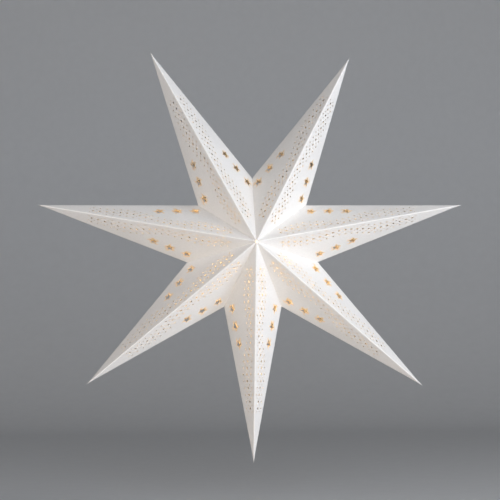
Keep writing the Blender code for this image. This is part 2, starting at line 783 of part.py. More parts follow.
def make_bulb_cap():
    """The tip, the insulator and the threaded cap of the bulb."""
    tip = [(0, BULB_TOP), (TIP_CONTACT_RADIUS, BULB_TOP), (TIP_CONTACT_RADIUS, TIP_BASE), (0, TIP_BASE)]
    turned("bulb_tip", tip, new_material("tip solder", NICKEL, 0.4, 1.0), closed=False, steps=16)
    crest = BULB_THREAD_RADIUS
    root = crest - BULB_CAP_THREAD_DEPTH
    insulator = [
        (0, INSULATOR_TOP),
        (INSULATOR_TOP_RADIUS, INSULATOR_TOP),
        (root, INSULATOR_BASE),
        (0, INSULATOR_BASE),
    ]
    glass = new_material("black glass", BLACK_GLASS, 0.15)
    turned("bulb_insulator", insulator, glass, closed=False, steps=FINE_STEPS)
    start = BULB_CAP_TOP - BULB_THREAD_PITCH / 2
    inner = root - BULB_CAP_WALL
    profile = [
        (inner, BULB_CAP_TOP),
        (root, BULB_CAP_TOP),
        *ridges(crest, root, start, BULB_THREAD_PITCH, BULB_THREAD_TURNS),
        (root, BULB_CAP_BASE),
        (inner, BULB_CAP_BASE),
    ]
    nickel = new_material("cap nickel", NICKEL, 0.25, 1.0)
    turned("bulb_screw_cap", profile, nickel, steps=FINE_STEPS)


def make_bulb_body():
    """The plastic collar and the opal globe that closes it."""
    neck = COLLAR_NECK_RADIUS
    wall = COLLAR_WALL
    mouth = GLOBE_MOUTH_RADIUS
    bore = BULB_THREAD_RADIUS - BULB_CAP_THREAD_DEPTH - BULB_CAP_WALL
    shoulder = COLLAR_TOP - COLLAR_NECK_HEIGHT
    rim_ledge = COLLAR_BASE + LED_BOARD_THICKNESS + wall
    profile = [
        (bore, COLLAR_TOP),
        (neck, COLLAR_TOP),
        (neck, shoulder),
        (mouth, COLLAR_BASE + wall * 2),
        (mouth, COLLAR_BASE),
        (mouth - wall, COLLAR_BASE),
        (mouth - wall, rim_ledge),
        (mouth - wall * 2, rim_ledge),
        (neck - wall, shoulder - wall),
        (bore, COLLAR_TOP - wall),
    ]
    turned("bulb_collar", profile, new_material("collar plastic", PLASTIC_WHITE, 0.45))
    outer = []
    inner = []
    inner_radius = GLOBE_RADIUS - GLOBE_WALL
    inner_mouth = GLOBE_MOUTH_RADIUS - GLOBE_WALL * GLOBE_RADIUS / GLOBE_SEAT_RISE / 2
    mouth_angle = Vector((GLOBE_MOUTH_RADIUS, GLOBE_SEAT_RISE)).angle_signed(Vector((1, 0)))
    inner_angle = Vector((inner_mouth, GLOBE_SEAT_RISE)).angle_signed(Vector((1, 0)))
    for step in range(GLOBE_ARC_STEPS + 1):
        share = step / GLOBE_ARC_STEPS
        for arc, radius, start in ((outer, GLOBE_RADIUS, mouth_angle), (inner, inner_radius, inner_angle)):
            turn = abs(start) - share * (abs(start) + pi / 2)
            arc.append((max(0, radius * cos(turn)), GLOBE_CENTRE + radius * sin(turn)))
    outer[-1] = (0, GLOBE_CENTRE - GLOBE_RADIUS)
    inner[-1] = (0, GLOBE_CENTRE - inner_radius)
    inner[0] = (inner[0][0], GLOBE_TOP)
    outline = list(reversed(inner)) + outer
    turned("bulb_globe", outline, new_material("opal globe", OPAL, 0.3), closed=False)


def make_bulb_boards():
    """The light board in the collar's mouth and the driver board that stands behind it."""
    board_radius = GLOBE_MOUTH_RADIUS - COLLAR_WALL - FIT_GAP
    board_top = COLLAR_BASE + LED_BOARD_THICKNESS + COLLAR_WALL - FIT_GAP
    board_base = board_top - LED_BOARD_THICKNESS
    profile = [(0, board_top), (board_radius, board_top), (board_radius, board_base), (0, board_base)]
    metal = new_material("light board", ALUMINIUM, 0.4, 1.0)
    turned("bulb_led_board", profile, metal, closed=False)
    driver_base = board_top + FIT_GAP
    half = DRIVER_WIDTH / 2
    thin = DRIVER_THICKNESS / 2
    green = new_material("driver board", BOARD_GREEN, 0.5)
    driver = block(
        "bulb_driver_board", (-half, -thin, driver_base), (half, thin, driver_base + DRIVER_LENGTH), green
    )
    foot = driver_base + CAPACITOR_RADIUS
    capacitor = rod(
        "capacitor_helper",
        CAPACITOR_RADIUS,
        (0, thin + CAPACITOR_RADIUS / 2, foot),
        (0, thin + CAPACITOR_RADIUS / 2, foot + CAPACITOR_LENGTH),
        steps=12,
        group=CUTTERS,
    )
    cut(driver, capacitor, "UNION")


clear_scene()
PARTS = new_collection("paper_star_lantern")
CUTTERS = new_collection("cutters")
make_points()
make_tapes()
make_holder_cap()
make_holder_skirt()
make_shade_ring()
make_holder_core()
make_screw_shell()
make_centre_contact()
make_terminals()
make_bulb_cap()
make_bulb_body()
make_bulb_boards()
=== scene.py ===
# %% [markdown]
# # A folded paper star lantern
#
# The real object is a seven-pointed star of stiff white paper. Each point is one sheet, punched
# flat, then folded into a four-sided cone and glued to its neighbours along the valleys. It hangs
# round a small screw lampholder with a frosted globe bulb, whose light shows through the holes.
#
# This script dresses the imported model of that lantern. It measures in metres, with Z up and the
# front of the star towards -Y. Each step has a short note on what it makes and why that way.

# %% Load the fixed frame
from functools import partial
from math import cos, degrees, pi, radians, sin

import bmesh
import bpy
from mathutils import Matrix, Vector


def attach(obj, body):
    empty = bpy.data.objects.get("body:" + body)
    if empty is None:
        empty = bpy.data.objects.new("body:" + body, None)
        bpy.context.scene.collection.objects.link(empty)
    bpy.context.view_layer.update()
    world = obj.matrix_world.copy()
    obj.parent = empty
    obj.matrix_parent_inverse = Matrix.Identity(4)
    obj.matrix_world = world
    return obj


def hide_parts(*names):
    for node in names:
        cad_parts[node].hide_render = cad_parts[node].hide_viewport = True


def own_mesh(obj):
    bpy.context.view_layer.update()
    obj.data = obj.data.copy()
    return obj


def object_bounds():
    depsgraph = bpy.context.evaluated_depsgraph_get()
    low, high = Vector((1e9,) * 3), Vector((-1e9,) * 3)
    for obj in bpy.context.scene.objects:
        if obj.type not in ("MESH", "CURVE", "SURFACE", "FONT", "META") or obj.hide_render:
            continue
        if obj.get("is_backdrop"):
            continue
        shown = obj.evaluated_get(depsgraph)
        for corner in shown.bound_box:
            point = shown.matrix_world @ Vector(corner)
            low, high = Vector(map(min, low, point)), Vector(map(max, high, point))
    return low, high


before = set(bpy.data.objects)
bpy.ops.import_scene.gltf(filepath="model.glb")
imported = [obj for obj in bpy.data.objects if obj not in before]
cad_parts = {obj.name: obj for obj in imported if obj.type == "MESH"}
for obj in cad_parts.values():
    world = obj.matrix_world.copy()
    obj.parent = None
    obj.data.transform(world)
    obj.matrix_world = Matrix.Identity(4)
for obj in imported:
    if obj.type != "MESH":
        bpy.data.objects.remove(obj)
cad_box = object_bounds()
print("nodes in the frame:", len(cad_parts))

# %% [markdown]
# ## Small helpers
#
# A colour picked from a chart is an sRGB hex value, and the renderer works in linear light, so one
# function turns the one into the other. Node trees are built by one function as well: it adds a
# node, sets its options, and links or fills its sockets, which are given in order or by name. It
# returns the first output in use.

# %% Colour and node helpers
def linear(hex_colour):
    """Linear red, green, blue and alpha of an sRGB hex colour."""
    parts = [int(hex_colour[place:place + 2], 16) / 255 for place in (1, 3, 5)]
    lit = [part / 12.92 if part <= 0.04045 else ((part + 0.055) / 1.055) ** 2.4 for part in parts]
    return (*lit, 1.0)


def plug(item, sockets):
    """Link or fill a node's sockets: one value, some in order, or some by name."""
    if not isinstance(sockets, (dict, tuple)):
        sockets = (sockets,)
    for key, value in sockets.items() if isinstance(sockets, dict) else enumerate(sockets):
        if isinstance(key, int):
            socket = item.inputs[key]
        else:
            socket = next(entry for entry in item.inputs if entry.name == key and entry.enabled)
        if isinstance(value, bpy.types.NodeSocket):
            item.id_data.links.new(value, socket)
        else:
            is_colour = isinstance(value, str) and value.startswith("#")
            socket.default_value = linear(value) if is_colour else value


def add_node(tree, kind, sockets=(), operation=None, **settings):
    """Add a node, set its options, then link or fill its sockets."""
    item = tree.nodes.new(kind)
    if operation:
        item.operation = operation
    for name, value in settings.items():
        setattr(item, name, value)
    plug(item, sockets)
    return next((output for output in item.outputs if output.enabled), None)


print("white paper in linear light:", [round(part, 3) for part in linear("#F5F3EE")])

# %% [markdown]
# ## The camera
#
# The camera comes first, so that every later choice can be judged in the picture. Its place was
# found by fitting the star's tips, notches and middle to a photograph: a long lens, a little to
# the left of the star and a little below its middle, looking slightly up.

# %% Camera at the fitted place
STAR_MIDDLE = Vector((0, 0, -0.086225))
CAMERA_PLACE = STAR_MIDDLE + Vector((-0.1373, -2.2222, -0.1374))
CAMERA_COURSE = Vector((0.0600, 0.9965, 0.0588))
CAMERA_ROLL = -0.33
SENSOR_WIDTH = 36
LENS_IN_PICTURE_WIDTHS = 3.2


def add_piece(name, data):
    """An object in the scene that carries a mesh, a camera or a light."""
    piece = bpy.data.objects.new(name, data)
    bpy.context.scene.collection.objects.link(piece)
    return piece


def aim(item, place, target, roll=0):
    """Put a camera or a light at a place, looking at a target."""
    item.matrix_world = (
        Matrix.Translation(place)
        @ (Vector(target) - Vector(place)).to_track_quat("-Z", "Y").to_matrix().to_4x4()
        @ Matrix.Rotation(roll, 4, "Z")
    )


camera = add_piece("camera", bpy.data.cameras.new("camera"))
bpy.context.scene.camera = camera
camera.data.lens = SENSOR_WIDTH * LENS_IN_PICTURE_WIDTHS
camera.data.clip_start = 0.05
camera.data.clip_end = 50
aim(camera, CAMERA_PLACE, CAMERA_PLACE + CAMERA_COURSE, roll=radians(CAMERA_ROLL))
print("camera stands", round((CAMERA_PLACE - STAR_MIDDLE).length, 3), "m from the star")

# %% [markdown]
# ## The plan of the star
#
# Seven tips stand on one circle and the notches between them on a smaller one. Even spacing would
# give stiff, machine-like points. The real ones hang a little, so each tip has a share of the even
# angle by which it sags, and a share for its length, because no two sheets are folded alike. Seams
# lie midway between neighbouring tips, except the top one, which stays upright for the cord.

# %% Sizes and angles of the star
POINTS = 7
TIP_RADIUS = 0.300
NOTCH_RADIUS = 0.095
HALF_DEPTH = 0.090
PAPER = 0.0004
SEAM_GAP = 0.00005
HANG_SHARES = (0.037, 0.039, 0.022, 0, -0.022, -0.039, -0.037)
TIP_SHARES = (0.997, 1.003, 1.027, 1.006, 1.0, 1.012, 1.024)
EVEN_ANGLE = 2 * pi / POINTS
NUMBERS = range(1, POINTS + 1)


def tip_turn(number):
    """How far a tip lies round from the top seam, clockwise from the front."""
    return EVEN_ANGLE * (number - 0.5 + HANG_SHARES[number - 1])


def seam_turn(number):
    """How far the seam after a point lies round from the top seam."""
    if number in (0, POINTS):
        return EVEN_ANGLE * number
    return (tip_turn(number) + tip_turn(number + 1)) / 2


print("tips at", [round(90 - degrees(tip_turn(number)), 1) for number in NUMBERS], "degrees")

# %% [markdown]
# ## One flat panel
#
# A cone has four panels. Each is a long triangle between three corners: the notch, the tip, and
# the hub where all points meet. Paper can't stretch, so the panel is laid out flat with its true
# lengths, punched flat as in the factory, and folded afterwards.

# %% Corners of a panel on the folded star, and on the flat
class Panel:
    """One upper front panel of a point whose tip is on +X. The seam lies at an angle above it."""

    def __init__(self, seam_angle, tip_radius, shift):
        seam = Vector((cos(seam_angle), 0, sin(seam_angle)))
        self.notch = seam * NOTCH_RADIUS + shift
        self.tip = Vector((tip_radius, 0, 0)) + shift
        self.hub = Vector((0, -HALF_DEPTH, 0)) + shift
        self.valley = (self.hub - self.notch).normalized()
        self.inward = (Vector((0, NOTCH_RADIUS, 0)) - seam * HALF_DEPTH).normalized()
        self.edge = (self.tip - self.notch).normalized()
        to_hub = self.hub - self.notch
        self.across = (to_hub - self.edge * to_hub.dot(self.edge)).normalized()
        self.edge_length = (self.tip - self.notch).length
        self.foot = (to_hub.dot(self.edge), to_hub.dot(self.across))


def panels_of(number):
    """The four panels of a point: each one's shape, and the mirror that puts it in place."""
    before = tip_turn(number) - seam_turn(number - 1)
    after = seam_turn(number) - tip_turn(number)
    along = SEAM_GAP * (cos(before) + cos(after)) / sin(before + after)
    aside = SEAM_GAP * (sin(before) - sin(after)) / sin(before + after)
    tip_radius = TIP_RADIUS * TIP_SHARES[number - 1]
    for side, angle in ((1, before), (-1, after)):
        shape = Panel(angle, tip_radius, Vector((along, 0, aside * side)))
        for face in (1, -1):
            yield shape, Matrix.Diagonal((1, face, side))


first_panel = next(panels_of(1))[0]
print("a flat panel is", round(first_panel.edge_length * 1000), "mm long at its edge")

# %% [markdown]
# ## Punching the panel with Geometry Nodes
#
# The sheet carries three star cut-outs beside its outer edge and a woven band of pin holes beside
# its ridge: one lane of larger holes, smaller ones on either side, and fine ones between them. A
# rule places every hole, which is what Geometry Nodes are good at. The tree lays a fine grid over
# the triangle, stands thin rods and star-shaped punches on it, and subtracts them all at once with
# an exact Boolean. The half walls that the punches leave below the sheet are then deleted.
#
# The tree also marks the corners that a punch has cut, so that the paper can be painted warm there,
# as painted lamp light.
# Last, it bulges the sheet a little between its creases, because folded paper never stays flat. The
# noise behind that has a fixed seed for each panel.

# %% The punching tree, its inputs first
MATH = "ShaderNodeMath"
VECTOR_MATH = "ShaderNodeVectorMath"
COMPARE = "FunctionNodeCompare"
MAP_RANGE = "ShaderNodeMapRange"
MIX = "ShaderNodeMix"
NOISE = "ShaderNodeTexNoise"
COMBINE = "ShaderNodeCombineXYZ"
SEPARATE = "ShaderNodeSeparateXYZ"
SET_POSITION = "GeometryNodeSetPosition"
ON_POINTS = "GeometryNodeInstanceOnPoints"


def new_tree(name, inputs):
    """A Geometry Nodes tree with named inputs: what adds a node to it, and the inputs' sockets."""
    tree = bpy.data.node_groups.new(name, "GeometryNodeTree")
    tree.interface.new_socket("Geometry", in_out="OUTPUT", socket_type="NodeSocketGeometry")
    for label, value in inputs.items():
        kind = "NodeSocketInt" if isinstance(value, int) else "NodeSocketFloat"
        if isinstance(value, bpy.types.Material):
            kind = "NodeSocketMaterial"
        tree.interface.new_socket(label, in_out="INPUT", socket_type=kind).default_value = value
    given = tree.nodes.new("NodeGroupInput")
    return partial(add_node, tree), {label: given.outputs[label] for label in inputs}


def finish_tree(add, geometry, material):
    """End a tree with Realize Instances and Set Material, and give it back."""
    real = add("GeometryNodeRealizeInstances", geometry)
    painted = add("GeometryNodeSetMaterial", {"Geometry": real, "Material": material})
    add("NodeGroupOutput", painted)
    return painted.id_data


def parts_of_place(add):
    """The X, Y and Z of each corner of the mesh that the tree is working on."""
    return add(SEPARATE, add("GeometryNodeInputPosition")).node.outputs


PANEL_INPUTS = {
    "Edge Length": 0.218, "Foot X": -0.076, "Foot Y": 0.106, "Crease Width": 0.0019,
    "Steps Along": 44, "Steps Across": 14,
    "Pin Radius": 0.0016, "Row Pitch": 0.0094, "Rows": 22, "First Row": 0.038,
    "Lane Gap": 0.0042, "Band From Ridge": 0.0135,
    "Wave Length": 0.110, "Wave Swing": 0.0042, "Wave Crest": 0.076,
    "Star Radius": 0.0066, "Star Inner Share": 0.50, "Stars": 3, "Star First": 0.004,
    "Star Pitch": 0.0247, "Star From Edge": 0.020,
    "Bulge": 0.0009, "Seed": 1,
}
LANES = 5
PUNCH_DEPTH = 0.004
BELOW_SHEET = -0.000001


def build_panel_tree(paper):
    add, given = new_tree("punched_panel", {**PANEL_INPUTS, "Paper": paper})
    tip = add(COMBINE, given["Edge Length"])
    foot = add(COMBINE, (given["Foot X"], given["Foot Y"]))
    sheet = lay_sheet(add, given, tip, foot)
    joined = add("GeometryNodeJoinGeometry", place_pins(add, given, tip, foot))
    plug(joined.node, place_stars(add, given))
    punches = add("GeometryNodeRealizeInstances", joined)
    meshes = {"Mesh 1": sheet, "Mesh 2": punches}
    punched = add("GeometryNodeMeshBoolean", meshes, "DIFFERENCE", solver="EXACT")
    parts = parts_of_place(add)
    marked = mark_cuts(add, given, punched, parts)
    below = add(COMPARE, (parts["Z"], BELOW_SHEET), "LESS_THAN")
    flat = add("GeometryNodeDeleteGeometry", (marked, below))
    cut = add("GeometryNodeTriangulate", flat)
    return finish_tree(add, bulge(add, given, cut, tip, foot), given["Paper"])


# %% [markdown]
# The grid stops short of the outer edge and of the ridge by the width of a fold. The rounded folds
# are added when the panels come together, since a fold belongs to two panels. Where the ridges meet
# at the hub there is little room, so the grid runs closer to the ridge over the last few steps.

# %% The sheet: a grid drawn over the triangle, with its rows fanning out from the tip
WIDEST_MARGIN = 0.3
HUB_SHARE = 0.02
HUB_MARGIN = 0.3
LEAST_BREADTH = 0.0001
SHEET_WELD = 0.000005


def lay_sheet(add, given, tip, foot):
    grid = add("GeometryNodeMeshGrid", (1.0, 1.0, given["Steps Along"], given["Steps Across"]))
    parts = parts_of_place(add)
    along = add(MATH, (parts["X"], 0.5), "ADD")
    left = add(MATH, (1.0, along), "SUBTRACT")
    breadth = add(MATH, (left, given["Foot Y"]), "MULTIPLY")
    room = add(MATH, (breadth, LEAST_BREADTH), "ADD")
    trim = add(MATH, (given["Crease Width"], room), "DIVIDE")
    margin = add(MATH, (trim, WIDEST_MARGIN), "MINIMUM")
    narrowing = add(MAP_RANGE, (along, 0.0, HUB_SHARE, HUB_MARGIN, 1.0))
    ridge_margin = add(MATH, (margin, narrowing), "MULTIPLY")
    far_margin = add(MATH, (1.0, ridge_margin), "SUBTRACT")
    across = add(MAP_RANGE, (parts["Y"], -0.5, 0.5, margin, far_margin))
    base = add(MIX, {"Factor": across, "A": (0, 0, 0), "B": foot}, data_type="VECTOR")
    spot = add(MIX, {"Factor": along, "A": base, "B": tip}, data_type="VECTOR")
    laid = add(SET_POSITION, {"Geometry": grid, "Position": spot})
    return add("GeometryNodeMergeByDistance", {"Geometry": laid, "Distance": SHEET_WELD})


# %% The pin holes: five lanes that weave together beside the ridge
LANE_SLANT = 0.12
FINE_LOSS = 0.36
OUTER_LOSS = 0.14


def place_pins(add, given, tip, foot):
    index = add("GeometryNodeInputIndex")
    count = add(MATH, (given["Rows"], LANES), "MULTIPLY")
    row = add(MATH, add(MATH, (index, LANES), "DIVIDE"), "FLOOR")
    lane = add(MATH, (index, LANES), "MODULO")
    fine = add(MATH, (lane, 2), "MODULO")
    stagger = add(MATH, (fine, 0.5, row), "MULTIPLY_ADD")
    slanted = add(MATH, (lane, LANE_SLANT, stagger), "MULTIPLY_ADD")
    reach = add(MATH, (slanted, given["Row Pitch"], given["First Row"]), "MULTIPLY_ADD")
    from_crest = add(MATH, (reach, given["Wave Crest"]), "SUBTRACT")
    waves = add(MATH, (from_crest, given["Wave Length"]), "DIVIDE")
    swing = add(MATH, add(MATH, (waves, 2 * pi), "MULTIPLY"), "COSINE")
    middle = add(MATH, (swing, given["Wave Swing"], given["Band From Ridge"]), "MULTIPLY_ADD")
    beside = add(MATH, (lane, LANES // 2), "SUBTRACT")
    inset = add(MATH, (beside, given["Lane Gap"], middle), "MULTIPLY_ADD")
    ridge = add(VECTOR_MATH, add(VECTOR_MATH, (tip, foot), "SUBTRACT"), "NORMALIZE")
    inner = add(VECTOR_MATH, (ridge, (0, 0, 1)), "CROSS_PRODUCT")
    forward = add(VECTOR_MATH, {0: ridge, "Scale": reach}, "SCALE")
    sideways = add(VECTOR_MATH, {0: inner, "Scale": inset}, "SCALE")
    start = add(VECTOR_MATH, (foot, forward), "ADD")
    spot = add(VECTOR_MATH, (start, sideways), "ADD")
    points = add("GeometryNodePoints", (count, spot))
    height = add(SEPARATE, spot).node.outputs["Y"]
    fold = add(MATH, (given["Crease Width"], given["Pin Radius"]), "ADD")
    on_sheet = add(COMPARE, (height, fold), "GREATER_THAN")
    off_ridge = add(COMPARE, (inset, fold), "GREATER_THAN")
    kept = add("FunctionNodeBooleanMath", (on_sheet, off_ridge), "AND")
    outer = add(MATH, beside, "ABSOLUTE")
    narrow = add(MATH, (outer, -OUTER_LOSS, 1.0), "MULTIPLY_ADD")
    thin = add(MATH, (fine, -FINE_LOSS, narrow), "MULTIPLY_ADD")
    radius = add(MATH, (thin, given["Pin Radius"]), "MULTIPLY")
    size = add(COMBINE, (radius, radius, PUNCH_DEPTH))
    rod = add("GeometryNodeMeshCylinder", {"Vertices": 12, "Radius": 1.0, "Depth": 1.0})
    return add(ON_POINTS, {"Points": points, "Instance": rod, "Selection": kept, "Scale": size})


# %% The star cut-outs: a ten-sided rod with every second corner drawn in
def place_stars(add, given):
    rod = add("GeometryNodeMeshCylinder", {"Vertices": 10, "Radius": 1.0, "Depth": 1.0})
    index = add("GeometryNodeInputIndex")
    odd = add(MATH, (index, 2), "MODULO")
    squeeze = add(COMBINE, (given["Star Inner Share"], given["Star Inner Share"], 1.0))
    drawn = add(VECTOR_MATH, (add("GeometryNodeInputPosition"), squeeze), "MULTIPLY")
    punch = add(SET_POSITION, (rod, odd, drawn))
    reach = add(MATH, (index, given["Star Pitch"], given["Star First"]), "MULTIPLY_ADD")
    spot = add(COMBINE, (reach, given["Star From Edge"]))
    points = add("GeometryNodePoints", (given["Stars"], spot))
    size = add(COMBINE, (given["Star Radius"], given["Star Radius"], PUNCH_DEPTH))
    return add(ON_POINTS, {"Points": points, "Instance": punch, "Scale": size})


# %% Marks for the painted lamp light on the paper: 1 at the rim of a star cut-out, less at a pin hole, 0 on the plain sheet
PIN_MARK = 0.3


def mark_cuts(add, given, punched, parts):
    aside = add(MATH, (parts["Y"], given["Star From Edge"]), "SUBTRACT")
    in_lane = add(COMPARE, (add(MATH, aside, "ABSOLUTE"), given["Star Radius"]), "LESS_EQUAL")
    lane_end = add(MATH, (given["Stars"], given["Star Pitch"]), "MULTIPLY")
    by_notch = add(COMPARE, (parts["X"], lane_end), "LESS_THAN")
    of_star = add("FunctionNodeBooleanMath", (in_lane, by_notch), "AND")
    strength = add(MATH, (of_star, 1 - PIN_MARK, PIN_MARK), "MULTIPLY_ADD")
    mark = add(MATH, (punched.node.outputs["Intersecting Edges"], strength), "MULTIPLY")
    values = {"Geometry": punched, "Name": "punched", "Value": mark}
    return add("GeometryNodeStoreNamedAttribute", values, data_type="FLOAT", domain="POINT")


# %% The bulge: highest between the creases, nothing on them
CREASE_REACH = 0.024
BULGES_PER_METRE = 22.0
BULGE_GAIN = 3.0
BULGE_BASE = -0.9


def bulge(add, given, sheet, tip, foot):
    place = add("GeometryNodeInputPosition")
    rise = 1.0
    for start, end in (((0, 0, 0), tip), (foot, tip), ((0, 0, 0), foot)):
        line = add(VECTOR_MATH, (end, start), "SUBTRACT")
        course = add(VECTOR_MATH, line, "NORMALIZE")
        offset = add(VECTOR_MATH, (place, start), "SUBTRACT")
        area = add(VECTOR_MATH, (offset, course), "CROSS_PRODUCT")
        clear = add(VECTOR_MATH, area, "LENGTH").node.outputs["Value"]
        near = add(MAP_RANGE, (clear, 0.0, CREASE_REACH), interpolation_type="SMOOTHSTEP")
        rise = add(MATH, (rise, near), "MULTIPLY")
    values = {"Vector": place, "W": given["Seed"], "Scale": BULGES_PER_METRE, "Detail": 1.0}
    noise = add(NOISE, values, noise_dimensions="4D")
    wave = add(MATH, (noise, BULGE_GAIN, BULGE_BASE), "MULTIPLY_ADD")
    swell = add(MATH, (wave, given["Bulge"]), "MULTIPLY")
    lift = add(MATH, (swell, rise), "MULTIPLY")
    return add(SET_POSITION, {"Geometry": sheet, "Offset": add(COMBINE, {"Z": lift})})


# %% [markdown]
# ## Stiff white paper
#
# The sheet is uncoated white board of about 250 grams a square metre, pressed smooth. The eye sees
# a matt white with a faint cloudiness where the pulp is thicker and thinner. Real fibres are 0.02
# mm wide, which no picture of a whole star can show, so the cloud is drawn at 3 mm and the tooth of
# the surface at 0.4 mm.
#
# The lamp behind the board shows in two ways. A little of its warm light comes through the sheet,
# more below the lamp than beside the holder, which casts a shadow upwards. And round each cut-out
# the light soaks into the cut edge, which leaves a warm rim. Real light through real pulp would be
# slow to render and noisy, so both are painted light: the sheet gets a faint warm glow of its own,
# and round each cut-out its colour is painted towards a warm yellow.
#
# Every finish in this script blends two close tones by a pattern, since nothing real is of one flat
# colour; on the paper the second blend is the painted warm rim of lamp light. One function starts a
# material, and another one blends the tones and fills the shader.

# %% The paper material
BUMP = "ShaderNodeBump"
SHEET_GLOW = 0.018
RIM_GLOW = 0.15
PAINTED_RIM_LIGHT_SHARE = 0.55
RIM_FROM = 0.1
LIT_HEIGHTS = (0.06, -0.16)
LIT_SHARES = (0.2, 1.0)


def new_material(name):
    """A material, what adds a node to its tree, and the place on the object for its patterns."""
    made = bpy.data.materials.new(name)
    made.use_nodes = True
    add = partial(add_node, made.node_tree)
    return made, add, add("ShaderNodeTexCoord").node.outputs["Object"]


def shaded(made, pattern, low, high, sockets):
    """Blend two tones by a pattern, and fill the material's shader."""
    tones = {"Factor": pattern, "A": low, "B": high}
    tint = add_node(made.node_tree, MIX, tones, data_type="RGBA")
    plug(made.node_tree.nodes["Principled BSDF"], {"Base Color": tint, **sockets})
    return made


def make_paper():
    made, add, place = new_material("pressed_white_board")
    cloud = add(NOISE, {"Vector": place, "Scale": 330.0, "Detail": 3.0})
    tint = add(MIX, {"Factor": cloud, "A": "#F1F0EE", "B": "#FBFAF9"}, data_type="RGBA")
    tooth = add(NOISE, {"Vector": place, "Scale": 2500.0, "Detail": 2.0})
    bump = add(BUMP, {"Height": tooth, "Strength": 0.12, "Distance": 0.0001})
    # Painted lamp light: round the cut-outs the colour is painted towards the warm yellow #EDC070,
    # and the sheet glows warm, more at the rims and below the lamp.
    punched = add("ShaderNodeAttribute", attribute_name="punched").node.outputs["Fac"]
    rim = add(MAP_RANGE, (punched, RIM_FROM, 1.0))
    painted_rim_light = add(MATH, (rim, PAINTED_RIM_LIGHT_SHARE), "MULTIPLY")
    height = add(SEPARATE, place).node.outputs["Z"]
    lit = add(MAP_RANGE, (height, *LIT_HEIGHTS, *LIT_SHARES))
    spread = add(MATH, (rim, RIM_GLOW, SHEET_GLOW), "MULTIPLY_ADD")
    glow = {"Emission Strength": add(MATH, (lit, spread), "MULTIPLY"), "Emission Color": "#FFCE84"}
    surface = {"Normal": bump, "Roughness": 0.72, "IOR": 1.47}
    return shaded(made, painted_rim_light, tint, "#EDC070", {**surface, **glow})


paper = make_paper()
panel_tree = build_panel_tree(paper)
print("the punching tree has", len(panel_tree.nodes), "nodes")

# %% Run a tree and keep its result as plain mesh
def settled(piece):
    """Turn a piece's modifiers into plain mesh."""
    bpy.context.view_layer.update()
    graph = bpy.context.evaluated_depsgraph_get()
    mesh = bpy.data.meshes.new_from_object(piece.evaluated_get(graph))
    piece.modifiers.clear()
    piece.data = mesh
    return piece


def modified(piece, kind, **settings):
    """Run one modifier on a piece, and keep its result as plain mesh."""
    modifier = piece.modifiers.new(kind.lower(), kind)
    for name, value in settings.items():
        setattr(modifier, name, value)
    return settled(piece)


def plain_mesh(piece):
    """The mesh of a settled piece that is needed no longer."""
    mesh = piece.data
    bpy.data.objects.remove(piece)
    return mesh


def grown(name, tree, values):
    """The mesh that a tree gives with these inputs."""
    holder = add_piece(name, bpy.data.meshes.new(name))
    modifier = holder.modifiers.new("grow", "NODES")
    modifier.node_group = tree
    entries = [entry for entry in tree.interface.items_tree if entry.in_out == "INPUT"]
    names = {entry.name: entry.identifier for entry in entries}
    for label, value in values.items():
        modifier[names[label]] = value
    return plain_mesh(settled(holder))


def punched_panel(shape, seed, star_first):
    sizes = {"Edge Length": shape.edge_length, "Foot X": shape.foot[0], "Foot Y": shape.foot[1]}
    return grown("panel", panel_tree, {**sizes, "Star First": star_first, "Seed": seed})


trial = punched_panel(first_panel, 1, PANEL_INPUTS["Star First"])
print("a punched panel has", len(trial.polygons), "triangles")

# %% [markdown]
# ## Folding four panels into a point
#
# Each flat panel is carried to its place by one matrix, with its bulge facing outwards. A fold in
# board is never a knife edge: the sheet bends round with a radius of a millimetre or so, and that
# narrow bend catches a bright line of light along every ridge and outer edge. So between two panels
# a strip bends round in an arc, from the border of one to the border of the other. Along the valley
# a glue flap turns inwards. Its near edge uses the panel's own corners, so the sheet is one piece.
# Beside the top seam the flaps start later, so that the lamp's neck has room, and the cut-outs lie
# a little nearer the notch, as on the real star.

# %% The border of a flat panel, corner by corner
FLAP_WIDTH = 0.012
FLAP_START = 0.004
TOP_FLAP_START = 0.024
FLAP_END = 0.128
TOP_STAR_FIRST = -0.0016
FOLD_STEPS = 6
WELD = 0.00001


def shape_of(mesh):
    """A shape that can be edited, from a mesh."""
    shape = bmesh.new()
    shape.from_mesh(mesh)
    return shape


def new_mesh(name, shape):
    """A mesh from a finished shape."""
    mesh = bpy.data.meshes.new(name)
    shape.to_mesh(mesh)
    shape.free()
    return mesh


def new_piece(name, shape, finish=None):
    """An object in the scene with a finished shape."""
    piece = add_piece(name, new_mesh(name, shape))
    if finish:
        piece.data.materials.append(finish)
    return piece


def border_of(shape, tip):
    """The corners round the flat panel, in order from its tip."""
    border = [min(shape.verts, key=lambda corner: (corner.co - tip).length)]
    before = None
    while True:
        here = border[-1]
        steps = [edge.other_vert(here) for edge in here.link_edges if edge.is_boundary]
        ahead = next(corner for corner in steps if corner != before)
        if ahead == border[0]:
            return border
        before = here
        border.append(ahead)


def sides_of(shape, panel):
    """The outer edge and the ridge from the tip down, and the valley between them."""
    border = border_of(shape, Vector((panel.edge_length, 0, 0)))
    foot = Vector((*panel.foot, 0))
    places = range(len(border))
    notch_place = min(places, key=lambda place: border[place].co.length)
    hub_place = min(places, key=lambda place: (border[place].co - foot).length)
    if notch_place > hub_place:
        border = border[:1] + border[:0:-1]
        notch_place, hub_place = len(border) - notch_place, len(border) - hub_place
    outer = border[:notch_place + 1]
    valley = border[notch_place:hub_place + 1]
    ridge = border[:1] + border[:hub_place - 1:-1]
    return outer, ridge, valley


def split_valley(valley, reach):
    """Put one more corner on the flat panel's valley, this far from the notch."""
    for first, second in zip(valley, valley[1:]):
        low, high = first.co.length, second.co.length
        if low < reach < high:
            edge = next(item for item in first.link_edges if item.other_vert(first) == second)
            bmesh.utils.edge_split(edge, first, (reach - low) / (high - low))
            return


